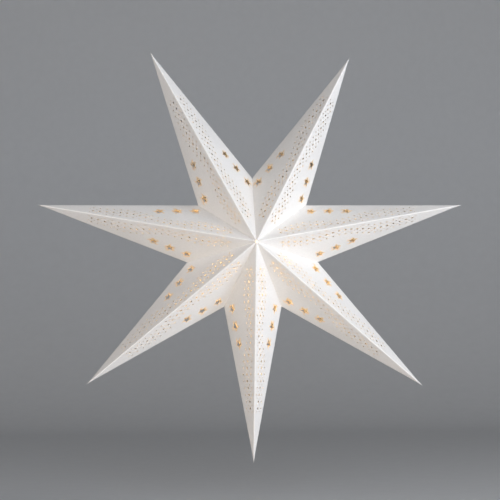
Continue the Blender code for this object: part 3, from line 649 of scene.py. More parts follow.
def flat_panel(panel, seed, flap_start, star_first):
    """The punched flat panel, and the numbers of the corners on its three sides."""
    shape = shape_of(punched_panel(panel, seed, star_first))
    for reach in (flap_start, FLAP_END):
        split_valley(sides_of(shape, panel)[2], reach)
    shape.verts.index_update()
    numbers = [[corner.index for corner in side] for side in sides_of(shape, panel)]
    return new_mesh("flat_panel", shape), numbers


trial, numbers = flat_panel(first_panel, 1, FLAP_START, PANEL_INPUTS["Star First"])
print("corners on the outer edge, the ridge and the valley:", [len(side) for side in numbers])

# %% The glue flap and the rounded folds
NEAR_SLOPE = 1.3
BOTH_SLOPES = 2.3


def add_flap(shape, valley, notch, course, inward, flap_start):
    """Turn a flap inwards from the valley's corners. Its ends slope."""
    length = FLAP_END - flap_start
    far_length = length - FLAP_WIDTH * BOTH_SLOPES
    near, far = [], []
    for corner in valley:
        share = ((corner.co - notch).length - flap_start) / length
        if -WELD < share * length < length + WELD:
            reach = flap_start + FLAP_WIDTH * NEAR_SLOPE + share * far_length
            near.append(corner)
            far.append(shape.verts.new(notch + course * reach + inward * FLAP_WIDTH))
    for here in range(len(near) - 1):
        shape.faces.new((near[here], near[here + 1], far[here + 1], far[here]))


def add_fold(shape, one_side, other_side, course, axis, goal):
    """Bend a strip round from one border to the other, inside the crease that they would meet in.

    The crease is where the valley's course brings a corner to the goal on an axis."""
    rows = []
    for first, second in zip(one_side, other_side):
        crease = first.co + course * ((goal - first.co[axis]) / course[axis])
        roundness = sin((first.co - crease).angle(second.co - crease, 0) / 2)
        row = [first]
        for step in range(1, FOLD_STEPS):
            share = step / FOLD_STEPS
            near, middle, far = (1 - share) ** 2, 2 * roundness * share * (1 - share), share ** 2
            spot = (first.co * near + crease * middle + second.co * far) / (near + middle + far)
            row.append(shape.verts.new(spot))
        rows.append([*row, second])
    for above, below in zip(rows[1:], rows[2:]):
        for left in range(FOLD_STEPS):
            shape.faces.new((above[left], above[left + 1], below[left + 1], below[left]))
    for left in range(FOLD_STEPS):
        shape.faces.new((rows[0][0], rows[1][left], rows[1][left + 1]))
    for corner in rows[0][1:-1]:
        shape.verts.remove(corner)


# %% Fold one point
def place_matrix(origin, x_axis, y_axis, z_axis):
    """The matrix that carries the origin and the three axes to their places."""
    turn = Matrix((x_axis, y_axis, z_axis)).transposed().to_4x4()
    return Matrix.Translation(origin) @ turn


def carry(shape, mesh, matrix):
    """Add a mesh to a shape at its place, and give back its corners."""
    old = set(shape.verts)
    shape.from_mesh(mesh)
    bpy.data.meshes.remove(mesh)
    fresh = [corner for corner in shape.verts if corner not in old]
    bmesh.ops.transform(shape, matrix=matrix, verts=fresh)
    return fresh


def face_outwards(shape, across):
    """Turn the faces of a tube or cone outwards. The vector across leaves out the tube's axis."""
    bmesh.ops.recalc_face_normals(shape, faces=shape.faces)
    outward = sum(
        face.calc_area() * face.normal.dot(face.calc_center_median() * across)
        for face in shape.faces
    )
    if outward < 0:
        bmesh.ops.reverse_faces(shape, faces=shape.faces)


def folded_point(number):
    """The folded sheet of one point, its tip on +X."""
    shape = bmesh.new()
    placed = []
    for place, (panel, mirror) in enumerate(panels_of(number)):
        by_the_lamp = (number, place // 2) in ((1, 0), (POINTS, 1))
        flap_start = TOP_FLAP_START if by_the_lamp else FLAP_START
        star_first = TOP_STAR_FIRST if by_the_lamp else PANEL_INPUTS["Star First"]
        mesh, numbers = flat_panel(panel, number * 4 + place, flap_start, star_first)
        parts = (panel.notch, panel.edge, panel.across, panel.valley, panel.inward, panel.tip)
        notch, edge, across, course, inward, tip = [mirror @ part for part in parts]
        outward = edge.cross(across)
        if outward.dot(notch - Vector(((panel.tip.x + notch.x) / 2, 0, 0))) < 0:
            outward.negate()
        fresh = carry(shape, mesh, place_matrix(notch, edge, across, outward))
        outer, ridge, valley = [[fresh[index] for index in side] for side in numbers]
        add_flap(shape, valley, notch, course, inward, flap_start)
        placed.append((outer, ridge, course, tip))
    outer_edge, ridge = (0, 1, 0), (1, 2, placed[0][3].z)
    for fold, one, other in ((outer_edge, 0, 1), (outer_edge, 2, 3), (ridge, 0, 2), (ridge, 1, 3)):
        side, axis, goal = fold
        add_fold(shape, placed[one][side], placed[other][side], placed[one][2], axis, goal)
    bmesh.ops.remove_doubles(shape, verts=shape.verts, dist=WELD)
    bmesh.ops.triangulate(shape, faces=[face for face in shape.faces if len(face.verts) > 3])
    face_outwards(shape, Vector((0, 1, 1)))
    return shape


# %% [markdown]
# When the star folds up, the points swing together like the leaves of a book, and each cone closes
# flat between its two neighbours, keeping its length and depth and pressed together across, along
# the circle that it swings on. Here each piece only gets a mesh of its own; it is not pressed flat.


def flatten(piece):
    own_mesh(piece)


# %% Give each sheet its thickness and put it in its place
CORD_RELIEF = 0.0020
PAPER_CREASE = 30


def smooth_between_creases(mesh, crease_angle):
    """Shade a mesh smooth, except where it turns by more than the crease angle."""
    mesh.shade_smooth()
    mesh.set_sharp_from_angle(angle=radians(crease_angle))


def stand_for(piece, node, body):
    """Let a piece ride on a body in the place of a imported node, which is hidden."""
    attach(piece, body)
    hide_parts(node)


def cut_cord_relief(piece):
    """Cut the half round at the top notch where the cord comes out."""
    shape = bmesh.new()
    bmesh.ops.create_cone(
        shape, segments=24, radius1=CORD_RELIEF, radius2=CORD_RELIEF, depth=0.04, cap_ends=True
    )
    cutter = new_piece("relief", shape)
    modified(piece, "BOOLEAN", object=cutter, solver="EXACT")
    bpy.data.objects.remove(cutter)


def make_point(number):
    piece = new_piece(f"paper_point_{number}", folded_point(number), paper)
    turn = Matrix.Rotation(tip_turn(number) - pi / 2, 4, "Y")
    piece.data.transform(Matrix.Translation(STAR_MIDDLE) @ turn)
    modified(piece, "SOLIDIFY", thickness=PAPER, offset=-1, use_even_offset=True)
    if number in (1, POINTS):
        cut_cord_relief(piece)
    smooth_between_creases(piece.data, PAPER_CREASE)
    return piece


points = {number: make_point(number) for number in NUMBERS}
for number, piece in points.items():
    stand_for(piece, f"point_{number}", f"star_point_{number}")
    flatten(piece)
print("triangles in the paper:", sum(len(piece.data.polygons) for piece in points.values()))

# %% [markdown]
# ## The lampholder's plastics
#
# Cap, skirt and shade ring are injection moulded from a white heat-proof polyester, and the bulb's
# collar from the same kind of plastic. The mould was spark eroded, which leaves a fine even tooth
# that takes the mirror out of the gloss. The tooth is about 0.05 mm wide, and is drawn at 0.3 mm.

# %% Moulded plastic
def make_plastic(name, low, high, roughness):
    made, add, place = new_material(name)
    flow = add(NOISE, {"Vector": place, "Scale": 90.0, "Detail": 2.0})
    tooth = add(NOISE, {"Vector": place, "Scale": 3300.0, "Detail": 1.0})
    bump = add(BUMP, {"Height": tooth, "Strength": 0.25, "Distance": 0.0001})
    return shaded(made, flow, low, high, {"Normal": bump, "Roughness": roughness, "IOR": 1.55})


holder_plastic = make_plastic("moulded_white_polyester", "#E6E4DE", "#F0EEE9", 0.38)
collar_plastic = make_plastic("moulded_collar_polyester", "#DEDEDB", "#EAEAE7", 0.45)
print("plastics:", holder_plastic.name, collar_plastic.name)

# %% [markdown]
# ## Glazed porcelain
#
# The core that carries the live parts is pressed porcelain under a clear glaze: cream, with faint
# iron specks about 0.2 mm across, and a coat that mirrors more sharply than the body.

# %% Glazed porcelain
SPECK_EDGE = (0.06, 0.12)


def make_porcelain():
    made, add, place = new_material("glazed_porcelain")
    body = add(NOISE, {"Vector": place, "Scale": 260.0, "Detail": 3.0})
    cream = add(MIX, {"Factor": body, "A": "#DCD3BF", "B": "#E9E2D2"}, data_type="RGBA")
    cells = add("ShaderNodeTexVoronoi", {"Vector": place, "Scale": 900.0})
    specks = add(MAP_RANGE, (cells, *SPECK_EDGE, 1.0, 0.0))
    glaze = {"Roughness": 0.5, "Coat Weight": 1.0, "Coat Roughness": 0.08}
    return shaded(made, specks, cream, "#9A7B57", glaze)


porcelain = make_porcelain()
print("core:", porcelain.name)

# %% [markdown]
# ## The metals
#
# Brass, bronze, zinc plated steel and nickel plate differ in colour and in the marks of their
# making. Rolled threads and turned pieces carry fine rings round their axis, stamped and sawn ones
# an even grain. So each metal gets a noise stretched to the right shape: flat and wide for rings.
# It shifts the colour a little between a worn and a bright tone, and the roughness with it.

# %% Metals
RINGS = (120, 120, 5000)
EVEN = (1800, 1800, 1800)
ROUGHER = 0.12
SMOOTHER = 0.06


def make_metal(name, worn, bright, roughness, grain):
    """A metal. The grain gives how many marks lie on a metre along each axis."""
    made, add, place = new_material(name)
    drawn = add("ShaderNodeMapping", {"Vector": place, "Scale": grain})
    marks = add(NOISE, {"Vector": drawn, "Scale": 1.0, "Detail": 4.0})
    rough = add(MAP_RANGE, (marks, 0.0, 1.0, roughness + ROUGHER, roughness - SMOOTHER))
    bump = add(BUMP, {"Height": marks, "Strength": 0.15, "Distance": 0.00005})
    surface = {"Roughness": rough, "Normal": bump, "Metallic": 1.0}
    return shaded(made, marks, worn, bright, surface)


shell_brass = make_metal("rolled_brass_sheet", "#B8893F", "#E0BC6C", 0.26, RINGS)
terminal_brass = make_metal("sawn_brass_bar", "#B58E45", "#DDBB70", 0.34, EVEN)
contact_bronze = make_metal("phosphor_bronze_strip", "#B27A42", "#D9A468", 0.3, EVEN)
screw_steel = make_metal("zinc_plated_steel", "#9FA3A6", "#C9CCCE", 0.3, RINGS)
cap_nickel = make_metal("nickel_plated_shell", "#B4B0A8", "#D8D5CE", 0.24, RINGS)
tip_solder = make_metal("tinned_contact", "#A6A7A6", "#C6C7C6", 0.42, EVEN)
print("six metals, the first is", shell_brass.name)

# %% [markdown]
# ## The glowing globe
#
# The globe is blown opal plastic. Lit from the board at its mouth, it glows warm white all over, a
# little stronger towards the far end than beside the collar. So the strength of its light follows
# the height, through a soft noise for the uneven wall. This is the light that shows in the holes.

# %% Opal globe, black glass and the two boards
GLOBE_HEIGHTS = (-0.0759, -0.1105)
GLOW = 11.0
GLOW_SHARES = (0.7, 1.0)
WALL_SHARES = (0.9, 1.1)
TRACK_EDGE = (0.42, 0.46)


def make_opal():
    made, add, place = new_material("blown_opal_globe")
    heights = (add(SEPARATE, place).node.outputs["Z"], *GLOBE_HEIGHTS, *GLOW_SHARES)
    rise = add(MAP_RANGE, heights, interpolation_type="SMOOTHSTEP")
    cloud = add(NOISE, {"Vector": place, "Scale": 60.0, "Detail": 1.0})
    wall = add(MAP_RANGE, (cloud, 0.0, 1.0, *WALL_SHARES))
    even = add(MATH, (rise, wall), "MULTIPLY")
    glow = {"Emission Strength": add(MATH, (even, GLOW), "MULTIPLY"), "Emission Color": "#FFCC80"}
    return shaded(made, cloud, "#F6EBD8", "#FBF4E8", {**glow, "Roughness": 0.32})


def make_clouded(name, low, high, roughness, **cloud):
    """A finish whose colour drifts softly between two tones."""
    made, add, place = new_material(name)
    pattern = add(NOISE, {"Vector": place, **cloud})
    return shaded(made, pattern, low, high, {"Roughness": roughness})


def make_board(name, mask, track, scale):
    """A lacquered circuit board: copper runs show through as a raised, lighter pattern."""
    made, add, place = new_material(name)
    cells = {"Vector": place, "Scale": scale}
    runs = add("ShaderNodeTexVoronoi", cells, distance="MANHATTAN")
    copper = add(MAP_RANGE, (runs, *TRACK_EDGE))
    bump = add(BUMP, {"Height": copper, "Strength": 0.4, "Distance": 0.00004})
    return shaded(made, copper, mask, track, {"Normal": bump, "Roughness": 0.35})


opal = make_opal()
black_glass = make_clouded(
    "moulded_black_glass", "#0B0B0C", "#1C1D20", 0.12, Scale=500.0, Detail=2.0, Distortion=1.5
)
light_board = make_board("white_lacquered_board", "#DEDFDF", "#F1F2F2", 320.0)
driver_board = make_board("green_lacquered_board", "#0F4A2A", "#1E6B3F", 420.0)
print("globe glows at strength", GLOW)

# %% [markdown]
# ## The lamp's plain pieces, with softened edges
#
# A moulded, stamped or sawn edge is never sharp. It is rounded by 0.06 to 0.5 mm, and that line is
# what catches the light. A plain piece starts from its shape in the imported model: the loose
# triangles are merged on a copy, flat areas are joined, and every sharp edge gets a small bevel.

# %% Softened copies: each node's body, slot, width of bevel and finish
LAMP_PIECES = {
    "holder_cap": ("lamp", "moulded_holder", 0.00025, holder_plastic),
    "holder_skirt": ("lamp", "moulded_holder", 0.00025, holder_plastic),
    "shade_ring": ("shade_ring", "moulded_holder", 0.0004, holder_plastic),
    "holder_core": ("lamp", "glazed_core", 0.0003, porcelain),
    "screw_shell": ("lamp", "brass_shell", 0.00006, shell_brass),
    "centre_contact": ("lamp", "contact_bronze", 0.00008, contact_bronze),
    "bulb_tip": ("bulb", "solder_tip", 0.0005, tip_solder),
    "bulb_insulator": ("bulb", "black_glass", 0.0003, black_glass),
    "bulb_screw_cap": ("bulb", "nickel_cap", 0.00008, cap_nickel),
    "bulb_collar": ("bulb", "collar_plastic", 0.0003, collar_plastic),
    "bulb_globe": ("bulb", "opal_globe", 0.0002, opal),
    "bulb_led_board": ("bulb", "light_board", 0.0001, light_board),
    "bulb_driver_board": ("bulb", "driver_board", 0.0001, driver_board),
}
for pole in ("live", "neutral"):
    LAMP_PIECES[f"terminal_{pole}"] = ("lamp", "terminal_brass", 0.0002, terminal_brass)
    LAMP_PIECES[f"clamp_screw_{pole}"] = ("lamp", "screw_steel", 0.00015, screw_steel)
PLAIN_PIECES = (
    "shade_ring", "holder_core", "centre_contact", "terminal_live", "terminal_neutral",
    "clamp_screw_live", "clamp_screw_neutral", "bulb_tip", "bulb_insulator",
)
BEVEL_FROM = 40
LAMP_CREASE = 32
TINY = 0.000002


def merged_copy(node):
    """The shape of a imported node, as one clean mesh."""
    shape = shape_of(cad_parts[node].data)
    bmesh.ops.remove_doubles(shape, verts=shape.verts, dist=TINY)
    bmesh.ops.dissolve_limit(shape, angle_limit=radians(1), verts=shape.verts, edges=shape.edges)
    bmesh.ops.recalc_face_normals(shape, faces=shape.faces)
    return shape


def dress(node, shape):
    """Turn a shape into the piece that stands for a node of the lamp."""
    body, slot, bevel_width, finish = LAMP_PIECES[node]
    piece = new_piece(f"fine_{node}", shape, finish)
    edges = {"limit_method": "ANGLE", "angle_limit": radians(BEVEL_FROM)}
    modified(piece, "BEVEL", width=bevel_width, segments=2, **edges)
    smooth_between_creases(piece.data, LAMP_CREASE)
    stand_for(piece, node, body)
    return piece


for node in PLAIN_PIECES:
    dress(node, merged_copy(node))
print("softened", len(PLAIN_PIECES), "plain pieces")

# %% [markdown]
# ## Turned pieces
#
# Cap, skirt, collar and globe are round, so each is an outline turned about the upright axis. The
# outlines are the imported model's, in millimetres, with more steps round so that they look smooth,
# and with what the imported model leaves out: the collar's flare, and the band for the cap's grips.

# %% Turn an outline
MM = 0.001
TURN_STEPS = 72


def turned(outline, closed=True):
    """Turn an outline of (radius, height) in millimetres round the upright axis."""
    shape = bmesh.new()
    rings = []
    turns = [2 * pi * step / TURN_STEPS for step in range(TURN_STEPS)]
    for radius, height in outline:
        if radius == 0:
            rings.append([shape.verts.new((0, 0, height * MM))] * TURN_STEPS)
            continue
        spots = [(radius * MM * cos(turn), radius * MM * sin(turn), height * MM) for turn in turns]
        rings.append([shape.verts.new(spot) for spot in spots])
    pairs = list(zip(rings, rings[1:]))
    if closed:
        pairs.append((rings[-1], rings[0]))
    for first, second in pairs:
        for here in range(TURN_STEPS):
            ahead = (here + 1) % TURN_STEPS
            corners = dict.fromkeys((first[here], first[ahead], second[ahead], second[here]))
            if len(corners) > 2:
                shape.faces.new(list(corners))
    bmesh.ops.recalc_face_normals(shape, faces=shape.faces)
    return shape


def bent(start, control, end, steps=8):
    """Points on a simple curve between two corners of an outline."""
    shares = [step / steps for step in range(1, steps)]
    return [
        tuple(
            a * (1 - share) ** 2 + b * 2 * share * (1 - share) + c * share**2
            for a, b, c in zip(start, control, end)
        )
        for share in shares
    ]


# %% [markdown]
# ## Threads
#
# A screw thread is one groove that winds round and round. Here a flat grid is wrapped into a tube,
# and its radius follows a wave that climbs by one pitch with each turn, and fades out at both ends.
# For rolled sheet the wave stays round, for a moulded thread a higher gain flattens its crests and
# roots. The tube then gets its wall, so it is closed, and joins the turned body.

# %% The thread tree
THREAD_INPUTS = {
    "Root Radius": 0.00645, "Depth": 0.0006, "Pitch": 0.0028, "Top": -0.0373, "Length": 0.018,
    "Gain": 0.5, "Steps Round": 49, "Steps Along": 61,
}
PLAIN_END = 0.0004


def round_axis(add, turn, radius, height):
    """The spot at a turn, a radius and a height round the upright axis."""
    across = [add(MATH, (add(MATH, turn, way), radius), "MULTIPLY") for way in ("COSINE", "SINE")]
    return add(COMBINE, (*across, height))


def build_thread_tree(finish):
    add, given = new_tree("wound_thread", {**THREAD_INPUTS, "Finish": finish})
    grid = add("GeometryNodeMeshGrid", (1.0, 1.0, given["Steps Round"], given["Steps Along"]))
    parts = parts_of_place(add)
    turns = add(MATH, (parts["X"], 0.5), "ADD")
    share = add(MATH, (parts["Y"], 0.5), "ADD")
    down = add(MATH, (share, given["Length"]), "MULTIPLY")
    rounds = add(MATH, (down, given["Pitch"]), "DIVIDE")
    phase = add(MATH, (rounds, turns), "ADD")
    swing = add(MATH, add(MATH, (phase, 2 * pi), "MULTIPLY"), "COSINE")
    gain = add(MATH, (given["Gain"], -1.0), "MULTIPLY")
    crest = add(MATH, (swing, gain, 0.5), "MULTIPLY_ADD", use_clamp=True)
    left = add(MATH, (given["Length"], down), "SUBTRACT")
    near_end = add(MATH, (down, left), "MINIMUM")
    fade = add(MAP_RANGE, (near_end, PLAIN_END, given["Pitch"]), interpolation_type="SMOOTHSTEP")
    rise = add(MATH, (crest, fade), "MULTIPLY")
    radius = add(MATH, (rise, given["Depth"], given["Root Radius"]), "MULTIPLY_ADD")
    course = add(MATH, (turns, 2 * pi), "MULTIPLY")
    height = add(MATH, (given["Top"], down), "SUBTRACT")
    spot = round_axis(add, course, radius, height)
    wrapped = add(SET_POSITION, {"Geometry": grid, "Position": spot})
    tube = add("GeometryNodeMergeByDistance", {"Geometry": wrapped, "Distance": TINY})
    return finish_tree(add, tube, given["Finish"])


thread_tree = build_thread_tree(cap_nickel)


def wound_thread(wall, **values):
    """The shape of a thread as a closed tube, its wall growing inwards."""
    labels = {name.replace("_", " ").title(): value for name, value in values.items()}
    shape = shape_of(grown("thread", thread_tree, labels))
    face_outwards(shape, Vector((1, 1, 0)))
    return plain_mesh(modified(new_piece("thread", shape), "SOLIDIFY", thickness=wall, offset=-1))


print("the thread tree has", len(thread_tree.nodes), "nodes")

# %% [markdown]
# ## Things in a ring
#
# The grips round the cap and the light chips on the board follow one rule: the same small block,
# many times round a circle, each turned to face outwards. So one tree makes both.

# %% The ring tree
RING_INPUTS = {
    "Count": 8, "Radius": 0.012, "Height": -0.07505,
    "Depth": 0.0028, "Width": 0.0035, "Length": 0.0007,
}


def build_ring_tree(finish):
    add, given = new_tree("ring_of_blocks", {**RING_INPUTS, "Finish": finish})
    size = add(COMBINE, (given["Depth"], given["Width"], given["Length"]))
    block = add("GeometryNodeMeshCube", size)
    step = add(MATH, (2 * pi, given["Count"]), "DIVIDE")
    turn = add(MATH, (add("GeometryNodeInputIndex"), step), "MULTIPLY")
    spot = round_axis(add, turn, given["Radius"], given["Height"])
    points = add("GeometryNodePoints", (given["Count"], spot))
    facing = add("FunctionNodeEulerToRotation", add(COMBINE, {"Z": turn}))
    ring = add(ON_POINTS, {"Points": points, "Instance": block, "Rotation": facing})
    return finish_tree(add, ring, given["Finish"])


ring_tree = build_ring_tree(holder_plastic)
print("the ring tree has", len(ring_tree.nodes), "nodes")

# %% Cap and skirt of the holder
CAP_GRIPS = {
    "Count": 40, "Radius": 0.01368, "Height": -0.0164,
    "Depth": 0.0006, "Width": 0.0010, "Length": 0.0134,
}
cap = turned([
    (4.3, 0), (6.5, 0), (6.5, -5.5), (12.48, -5.5), (13.98, -7.0), (13.98, -9.3), (13.58, -9.7),
    (13.58, -23.1), (13.98, -23.5), (13.98, -25.5), (12.48, -25.5), (12.48, -8.5), (10.98, -7.0),
    (4.3, -7.0),
])
cap.from_mesh(grown("grips", ring_tree, CAP_GRIPS))
dress("holder_cap", cap)
skirt = turned([
    (10.68, -19.5), (12.18, -19.5), (12.18, -25.8), (13.98, -25.8), (13.98, -37.5), (17.98, -37.5),
    (17.98, -39.5), (12.85, -39.5), (12.85, -58.0), (11.48, -58.0), (11.48, -31.5), (9.28, -29.5),
    (9.28, -27.5), (10.68, -27.5),
])
skirt.from_mesh(wound_thread(
    wall=0.0004, root_radius=0.01298, depth=0.0006, pitch=0.003, top=-0.0396, length=0.0182,
    gain=1.1, steps_round=73, steps_along=92,
))
dress("holder_skirt", skirt)
print("cap with", CAP_GRIPS["Count"], "grips, skirt with a thread of 3 mm pitch")

# %% The screw shell with its tab, and the bulb's cap
TAB_SIZES = (0.0003, 0.003, 0.0045)
TAB_MIDDLE = (0.00745, 0, -0.02775)


def add_box(shape, sizes, middle):
    """Add a box to a shape."""
    corners = bmesh.ops.create_cube(shape, size=1)["verts"]
    bmesh.ops.scale(shape, vec=sizes, verts=corners)
    bmesh.ops.translate(shape, vec=middle, verts=corners)


shell = shape_of(wound_thread(
    wall=0.0002, root_radius=0.00745, depth=0.00023, pitch=0.0028, top=-0.0295, length=0.0215,
    gain=0.5, steps_round=65, steps_along=93,
))
add_box(shell, TAB_SIZES, TAB_MIDDLE)
dress("screw_shell", shell)
dress("bulb_screw_cap", shape_of(wound_thread(
    wall=0.0003, root_radius=0.00633, depth=0.0006, pitch=0.0028, top=-0.0373, length=0.0180,
    gain=0.6, steps_round=65, steps_along=91,
)))
print("threads of 2.8 mm pitch on the shell and the bulb")

# %% The bulb's collar, globe and boards
GLOBE_MIDDLE = -87.95
MOUTH_ANGLE = 32.4
GLOBE_STEPS = 24
CAPACITOR_FROM = 0.0008
dress("bulb_collar", turned([
    (5.93, -55.6), (8.8, -55.6), (8.8, -61.6), *bent((8.8, -61.6), (10.4, -67.6), (19.0, -73.2)),
    (19.0, -73.2), (19.0, -75.6), (17.8, -75.6), (17.8, -72.8), (16.6, -72.8),
    *bent((16.6, -72.8), (8.6, -67.8), (7.6, -62.8)), (7.6, -62.8), (7.6, -57.0), (5.93, -57.0),
]))


def globe_arc(radius):
    """The outline of the globe from its mouth down to the axis."""
    span = MOUTH_ANGLE + 90
    turns = [radians(MOUTH_ANGLE - span * step / GLOBE_STEPS) for step in range(GLOBE_STEPS)]
    arc = [(radius * cos(turn), GLOBE_MIDDLE + radius * sin(turn)) for turn in turns]
    return [*arc, (0, GLOBE_MIDDLE - radius)]


def add_faces(piece, mesh, finish):
    """Join a mesh with a finish of its own to a piece."""
    piece.data.materials.append(finish)
    shape = shape_of(piece.data)
    old = len(shape.faces)
    shape.from_mesh(mesh)
    shape.faces.ensure_lookup_table()
    for face in shape.faces[old:]:
        face.material_index = len(piece.data.materials) - 1
    shape.to_mesh(piece.data)
    shape.free()


dress("bulb_globe", turned(globe_arc(21.7)[::-1] + globe_arc(22.5), closed=False))
board = dress("bulb_led_board", merged_copy("bulb_led_board"))
phosphor = make_clouded("cured_phosphor_gel", "#D9A93A", "#EBC65E", 0.3, Scale=800.0, Detail=2.0)
add_faces(board, grown("chips", ring_tree, {}), phosphor)
driver = dress("bulb_driver_board", merged_copy("bulb_driver_board"))
driver.data.materials.append(black_glass)
for face in driver.data.polygons:
    if face.center.y > CAPACITOR_FROM:
        face.material_index = 1
print("light board with", RING_INPUTS["Count"], "chips")

# %% [markdown]
# ## Hook and loop tapes
#
# The top seam isn't glued: two short pairs of woven nylon tapes close it, so that the star can be
# taken off its lamp and laid flat. One tape of a pair carries stiff mushroom hooks, the other soft
# loops. The strips lie on the flaps and reach past them, and the hooks meet the loops in the seam.

# %% The tapes' finish: a plain weave of 0.5 mm threads
VALLEY_SLOPE = radians(-43.5)
WEAVE_SCALE = 640.0


def make_weave(name, dark, light):
    made, add, place = new_material(name)
    course = add("ShaderNodeMapping", {"Vector": place, "Rotation": (VALLEY_SLOPE, 0, 0)})
    warp, weft = [
        add("ShaderNodeTexWave", {"Vector": course, "Scale": WEAVE_SCALE}, bands_direction=way)
        for way in ("Y", "Z")
    ]
    weave = add(MATH, (warp, weft), "MULTIPLY")
    bump = add(BUMP, {"Height": weave, "Strength": 0.5, "Distance": 0.00008})
    surface = {"Normal": bump, "Roughness": 0.6, "Sheen Weight": 0.3}
    return shaded(made, weave, dark, light, surface)


hook_nylon = make_weave("woven_hook_nylon", "#CFCFCC", "#EDEDEA")
loop_nylon = make_weave("brushed_loop_nylon", "#D8D8D5", "#F4F4F1")

# %% The pile tree: hooks or loops on a grid, each turned a little differently
PILE_INPUTS = {
    "Length": 0.0186, "Width": 0.0062, "Rows": 16, "Columns": 6, "Height": 0.0003, "Jitter": 0.0002,
    "Seed": 3,
}


def build_pile_tree(looped, finish):
    add, given = new_tree("loops" if looped else "hooks", {**PILE_INPUTS, "Finish": finish})
    sides = (given["Width"], given["Length"], given["Columns"], given["Rows"])
    grid = add("GeometryNodeMeshGrid", sides)
    if looped:
        circle = "GeometryNodeCurvePrimitiveCircle"
        ring = add(circle, {"Resolution": 7, "Radius": given["Height"]})
        wire = add(circle, {"Resolution": 4, "Radius": 0.00005})
        loop = add("GeometryNodeCurveToMesh", {"Curve": ring, "Profile Curve": wire})
        stem = add("GeometryNodeTransform", {"Geometry": loop, "Rotation": (pi / 2, 0, 0)})
    else:
        sizes = {"Radius Top": 0.00024, "Radius Bottom": 0.0001, "Depth": given["Height"]}
        stem = add("GeometryNodeMeshCone", {"Vertices": 6, **sizes})
    room = add(VECTOR_MATH, {0: (1, 1, 0), "Scale": given["Jitter"]}, "SCALE")
    back = add(VECTOR_MATH, {0: room, "Scale": -1.0}, "SCALE")
    shift, turn = [
        add("FunctionNodeRandomValue", {**limits, "Seed": given["Seed"]}, data_type="FLOAT_VECTOR")
        for limits in ({"Min": back, "Max": room}, {"Min": (0, 0, 0), "Max": (0, 0, 3.1)})
    ]
    strewn = add(SET_POSITION, {"Geometry": grid, "Offset": shift})
    facing = add("FunctionNodeEulerToRotation", turn)
    pile = add(ON_POINTS, {"Points": strewn, "Instance": stem, "Rotation": facing})
    return finish_tree(add, pile, given["Finish"])


hook_tree = build_pile_tree(False, hook_nylon)
loop_tree = build_pile_tree(True, loop_nylon)
print("hooks or loops on a tape:", PILE_INPUTS["Rows"] * PILE_INPUTS["Columns"])

# %% Lay the four tapes beside the top seam
TAPE_BASE = 0.0003
TAPE_FACE = 0.00046
TAPE_FROM = 0.004
TAPE_TO = 0.021
TAPE_LENGTH = 0.020
TAPE_MIDDLE = 0.0709
TAPE_BEVEL = 0.0001
PILE_FROM = 0.0138


def lay_tape(kind, number, side, face, finish):
    """One tape. Its own axes run away from the seam, into the star, and along the valley."""
    name = f"{kind}_front" if face == 1 else f"{kind}_back"
    valley = Vector((0, -HALF_DEPTH * face, -NOTCH_RADIUS)).normalized()
    deep = Vector((0, NOTCH_RADIUS * face, -HALF_DEPTH)).normalized()
    outwards = Vector((side, 0, 0))
    shape = bmesh.new()
    middle = (TAPE_FACE + TAPE_BASE / 2, (TAPE_FROM + TAPE_TO) / 2, 0)
    add_box(shape, (TAPE_BASE, TAPE_TO - TAPE_FROM, TAPE_LENGTH), middle)
    edges = shape.edges[:]
    bmesh.ops.bevel(shape, geom=edges, offset=TAPE_BEVEL, segments=2, profile=0.5, affect="EDGES")
    hooked = kind == "hook_tape"
    pile = grown("pile", hook_tree if hooked else loop_tree, {"Seed": number + face})
    foot = Vector((TAPE_FACE - (TAPE_BASE / 2 if hooked else 0), (PILE_FROM + TAPE_TO) / 2, 0))
    carry(shape, pile, place_matrix(foot, (0, 1, 0), (0, 0, -1), (-1, 0, 0)))
    notch = STAR_MIDDLE + Vector((0, 0, NOTCH_RADIUS))
    turn = place_matrix(notch + valley * TAPE_MIDDLE, outwards, deep, outwards.cross(deep))
    bmesh.ops.transform(shape, matrix=turn, verts=shape.verts)
    bmesh.ops.recalc_face_normals(shape, faces=shape.faces)
    piece = new_piece(f"woven_{name}", shape, finish)
    smooth_between_creases(piece.data, LAMP_CREASE)
    stand_for(piece, name, f"star_point_{number}")
    flatten(piece)
    return piece


for face in (1, -1):
    lay_tape("hook_tape", 1, 1, face, hook_nylon)
    lay_tape("loop_tape", POINTS, -1, face, loop_nylon)
print("four tapes of", TAPE_LENGTH * 1000, "mm beside the top seam")

# %% [markdown]
# ## The studio
#
# The lantern hangs over a pale floor of matt paper that sweeps up into the backdrop in one bend.
# Two large soft lights stand on the right and one in front, for the side that the light comes from,
# and two weaker strips lift the left and the underside. The surround only keeps shadows open.

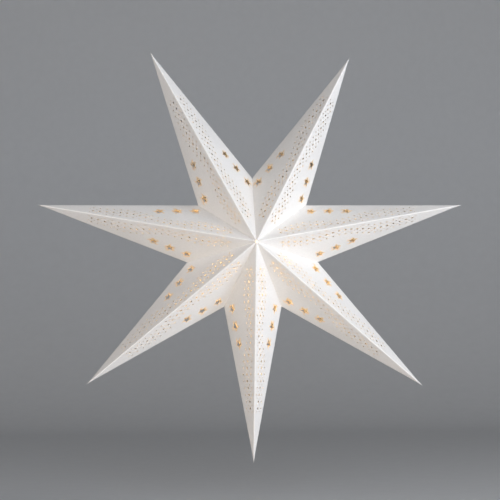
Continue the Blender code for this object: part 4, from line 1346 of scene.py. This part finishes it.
# %% The floor and the backdrop
FLOOR_Z = -0.47
FLOOR_REACH = 9
WALL_Y = 3.1
WALL_TOP = 6.0
BEND = 0.9
BEND_STEPS = 12
sweep = [(-FLOOR_REACH, FLOOR_Z)]
for step in range(BEND_STEPS + 1):
    turn = step / BEND_STEPS * pi / 2
    sweep.append((WALL_Y - BEND + BEND * sin(turn), FLOOR_Z + BEND - BEND * cos(turn)))
sweep.append((WALL_Y, WALL_TOP))
shape = bmesh.new()
lines = [
    [shape.verts.new((across, depth, height)) for across in (-FLOOR_REACH, FLOOR_REACH)]
    for depth, height in sweep
]
for first, second in zip(lines, lines[1:]):
    shape.faces.new((first[0], first[1], second[1], second[0]))
backdrop = make_clouded("matt_backdrop_paper", "#E2E3E4", "#E8E9EA", 0.9, Scale=40.0, Detail=3.0)
floor = new_piece("floor", shape, backdrop)
floor.data.shade_smooth()
floor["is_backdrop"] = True
print("the floor lies", round((cad_box[0][2] - FLOOR_Z) / MM), "mm below the lowest tip")

# %% Studio light: each one's place, width, height, watts and tint
SURROUND = 0.095
LIGHTS = {
    "key_from_the_right": ((1.8, -1.9, 0.1), 1.2, 1.2, 31, "#E6F1FF"),
    "key_from_above": ((1.7, -1.2, 1.6), 1.2, 1.2, 8.2, "#FFF6EC"),
    "fill_from_the_front": ((0.1, -2.5, 0.6), 1.2, 1.2, 16.5, "#E6F1FF"),
    "strip_from_the_left": ((-2.5, -0.5, 0.1), 1.2, 1.4, 7.8, "#FBFAFF"),
    "strip_from_below": ((0.0, -1.9, -0.33), 1.4, 0.25, 10.5, "#FFE4C2"),
}
world = bpy.data.worlds.new("studio")
bpy.context.scene.world = world
world.use_nodes = True
plug(world.node_tree.nodes["Background"], {"Color": "#F4F5F7", "Strength": SURROUND})
for name, (place, width, height, watts, tint) in LIGHTS.items():
    lamp = add_piece(name, bpy.data.lights.new(name, "AREA"))
    lamp.data.shape = "RECTANGLE"
    lamp.data.size = width
    lamp.data.size_y = height
    lamp.data.energy = watts
    lamp.data.color = linear(tint)[:3]
    aim(lamp, Vector(place), STAR_MIDDLE)
bpy.context.scene.view_settings.view_transform = "Standard"
print("lights:", ", ".join(LIGHTS))

# %% Check the sizes against the imported model's box
new_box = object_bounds()
corners = zip(cad_box, new_box)
moves = [[round((b - a) / MM, 1) for a, b in zip(old, new)] for old, new in corners]
print("the corners of the box move by", moves, "mm")
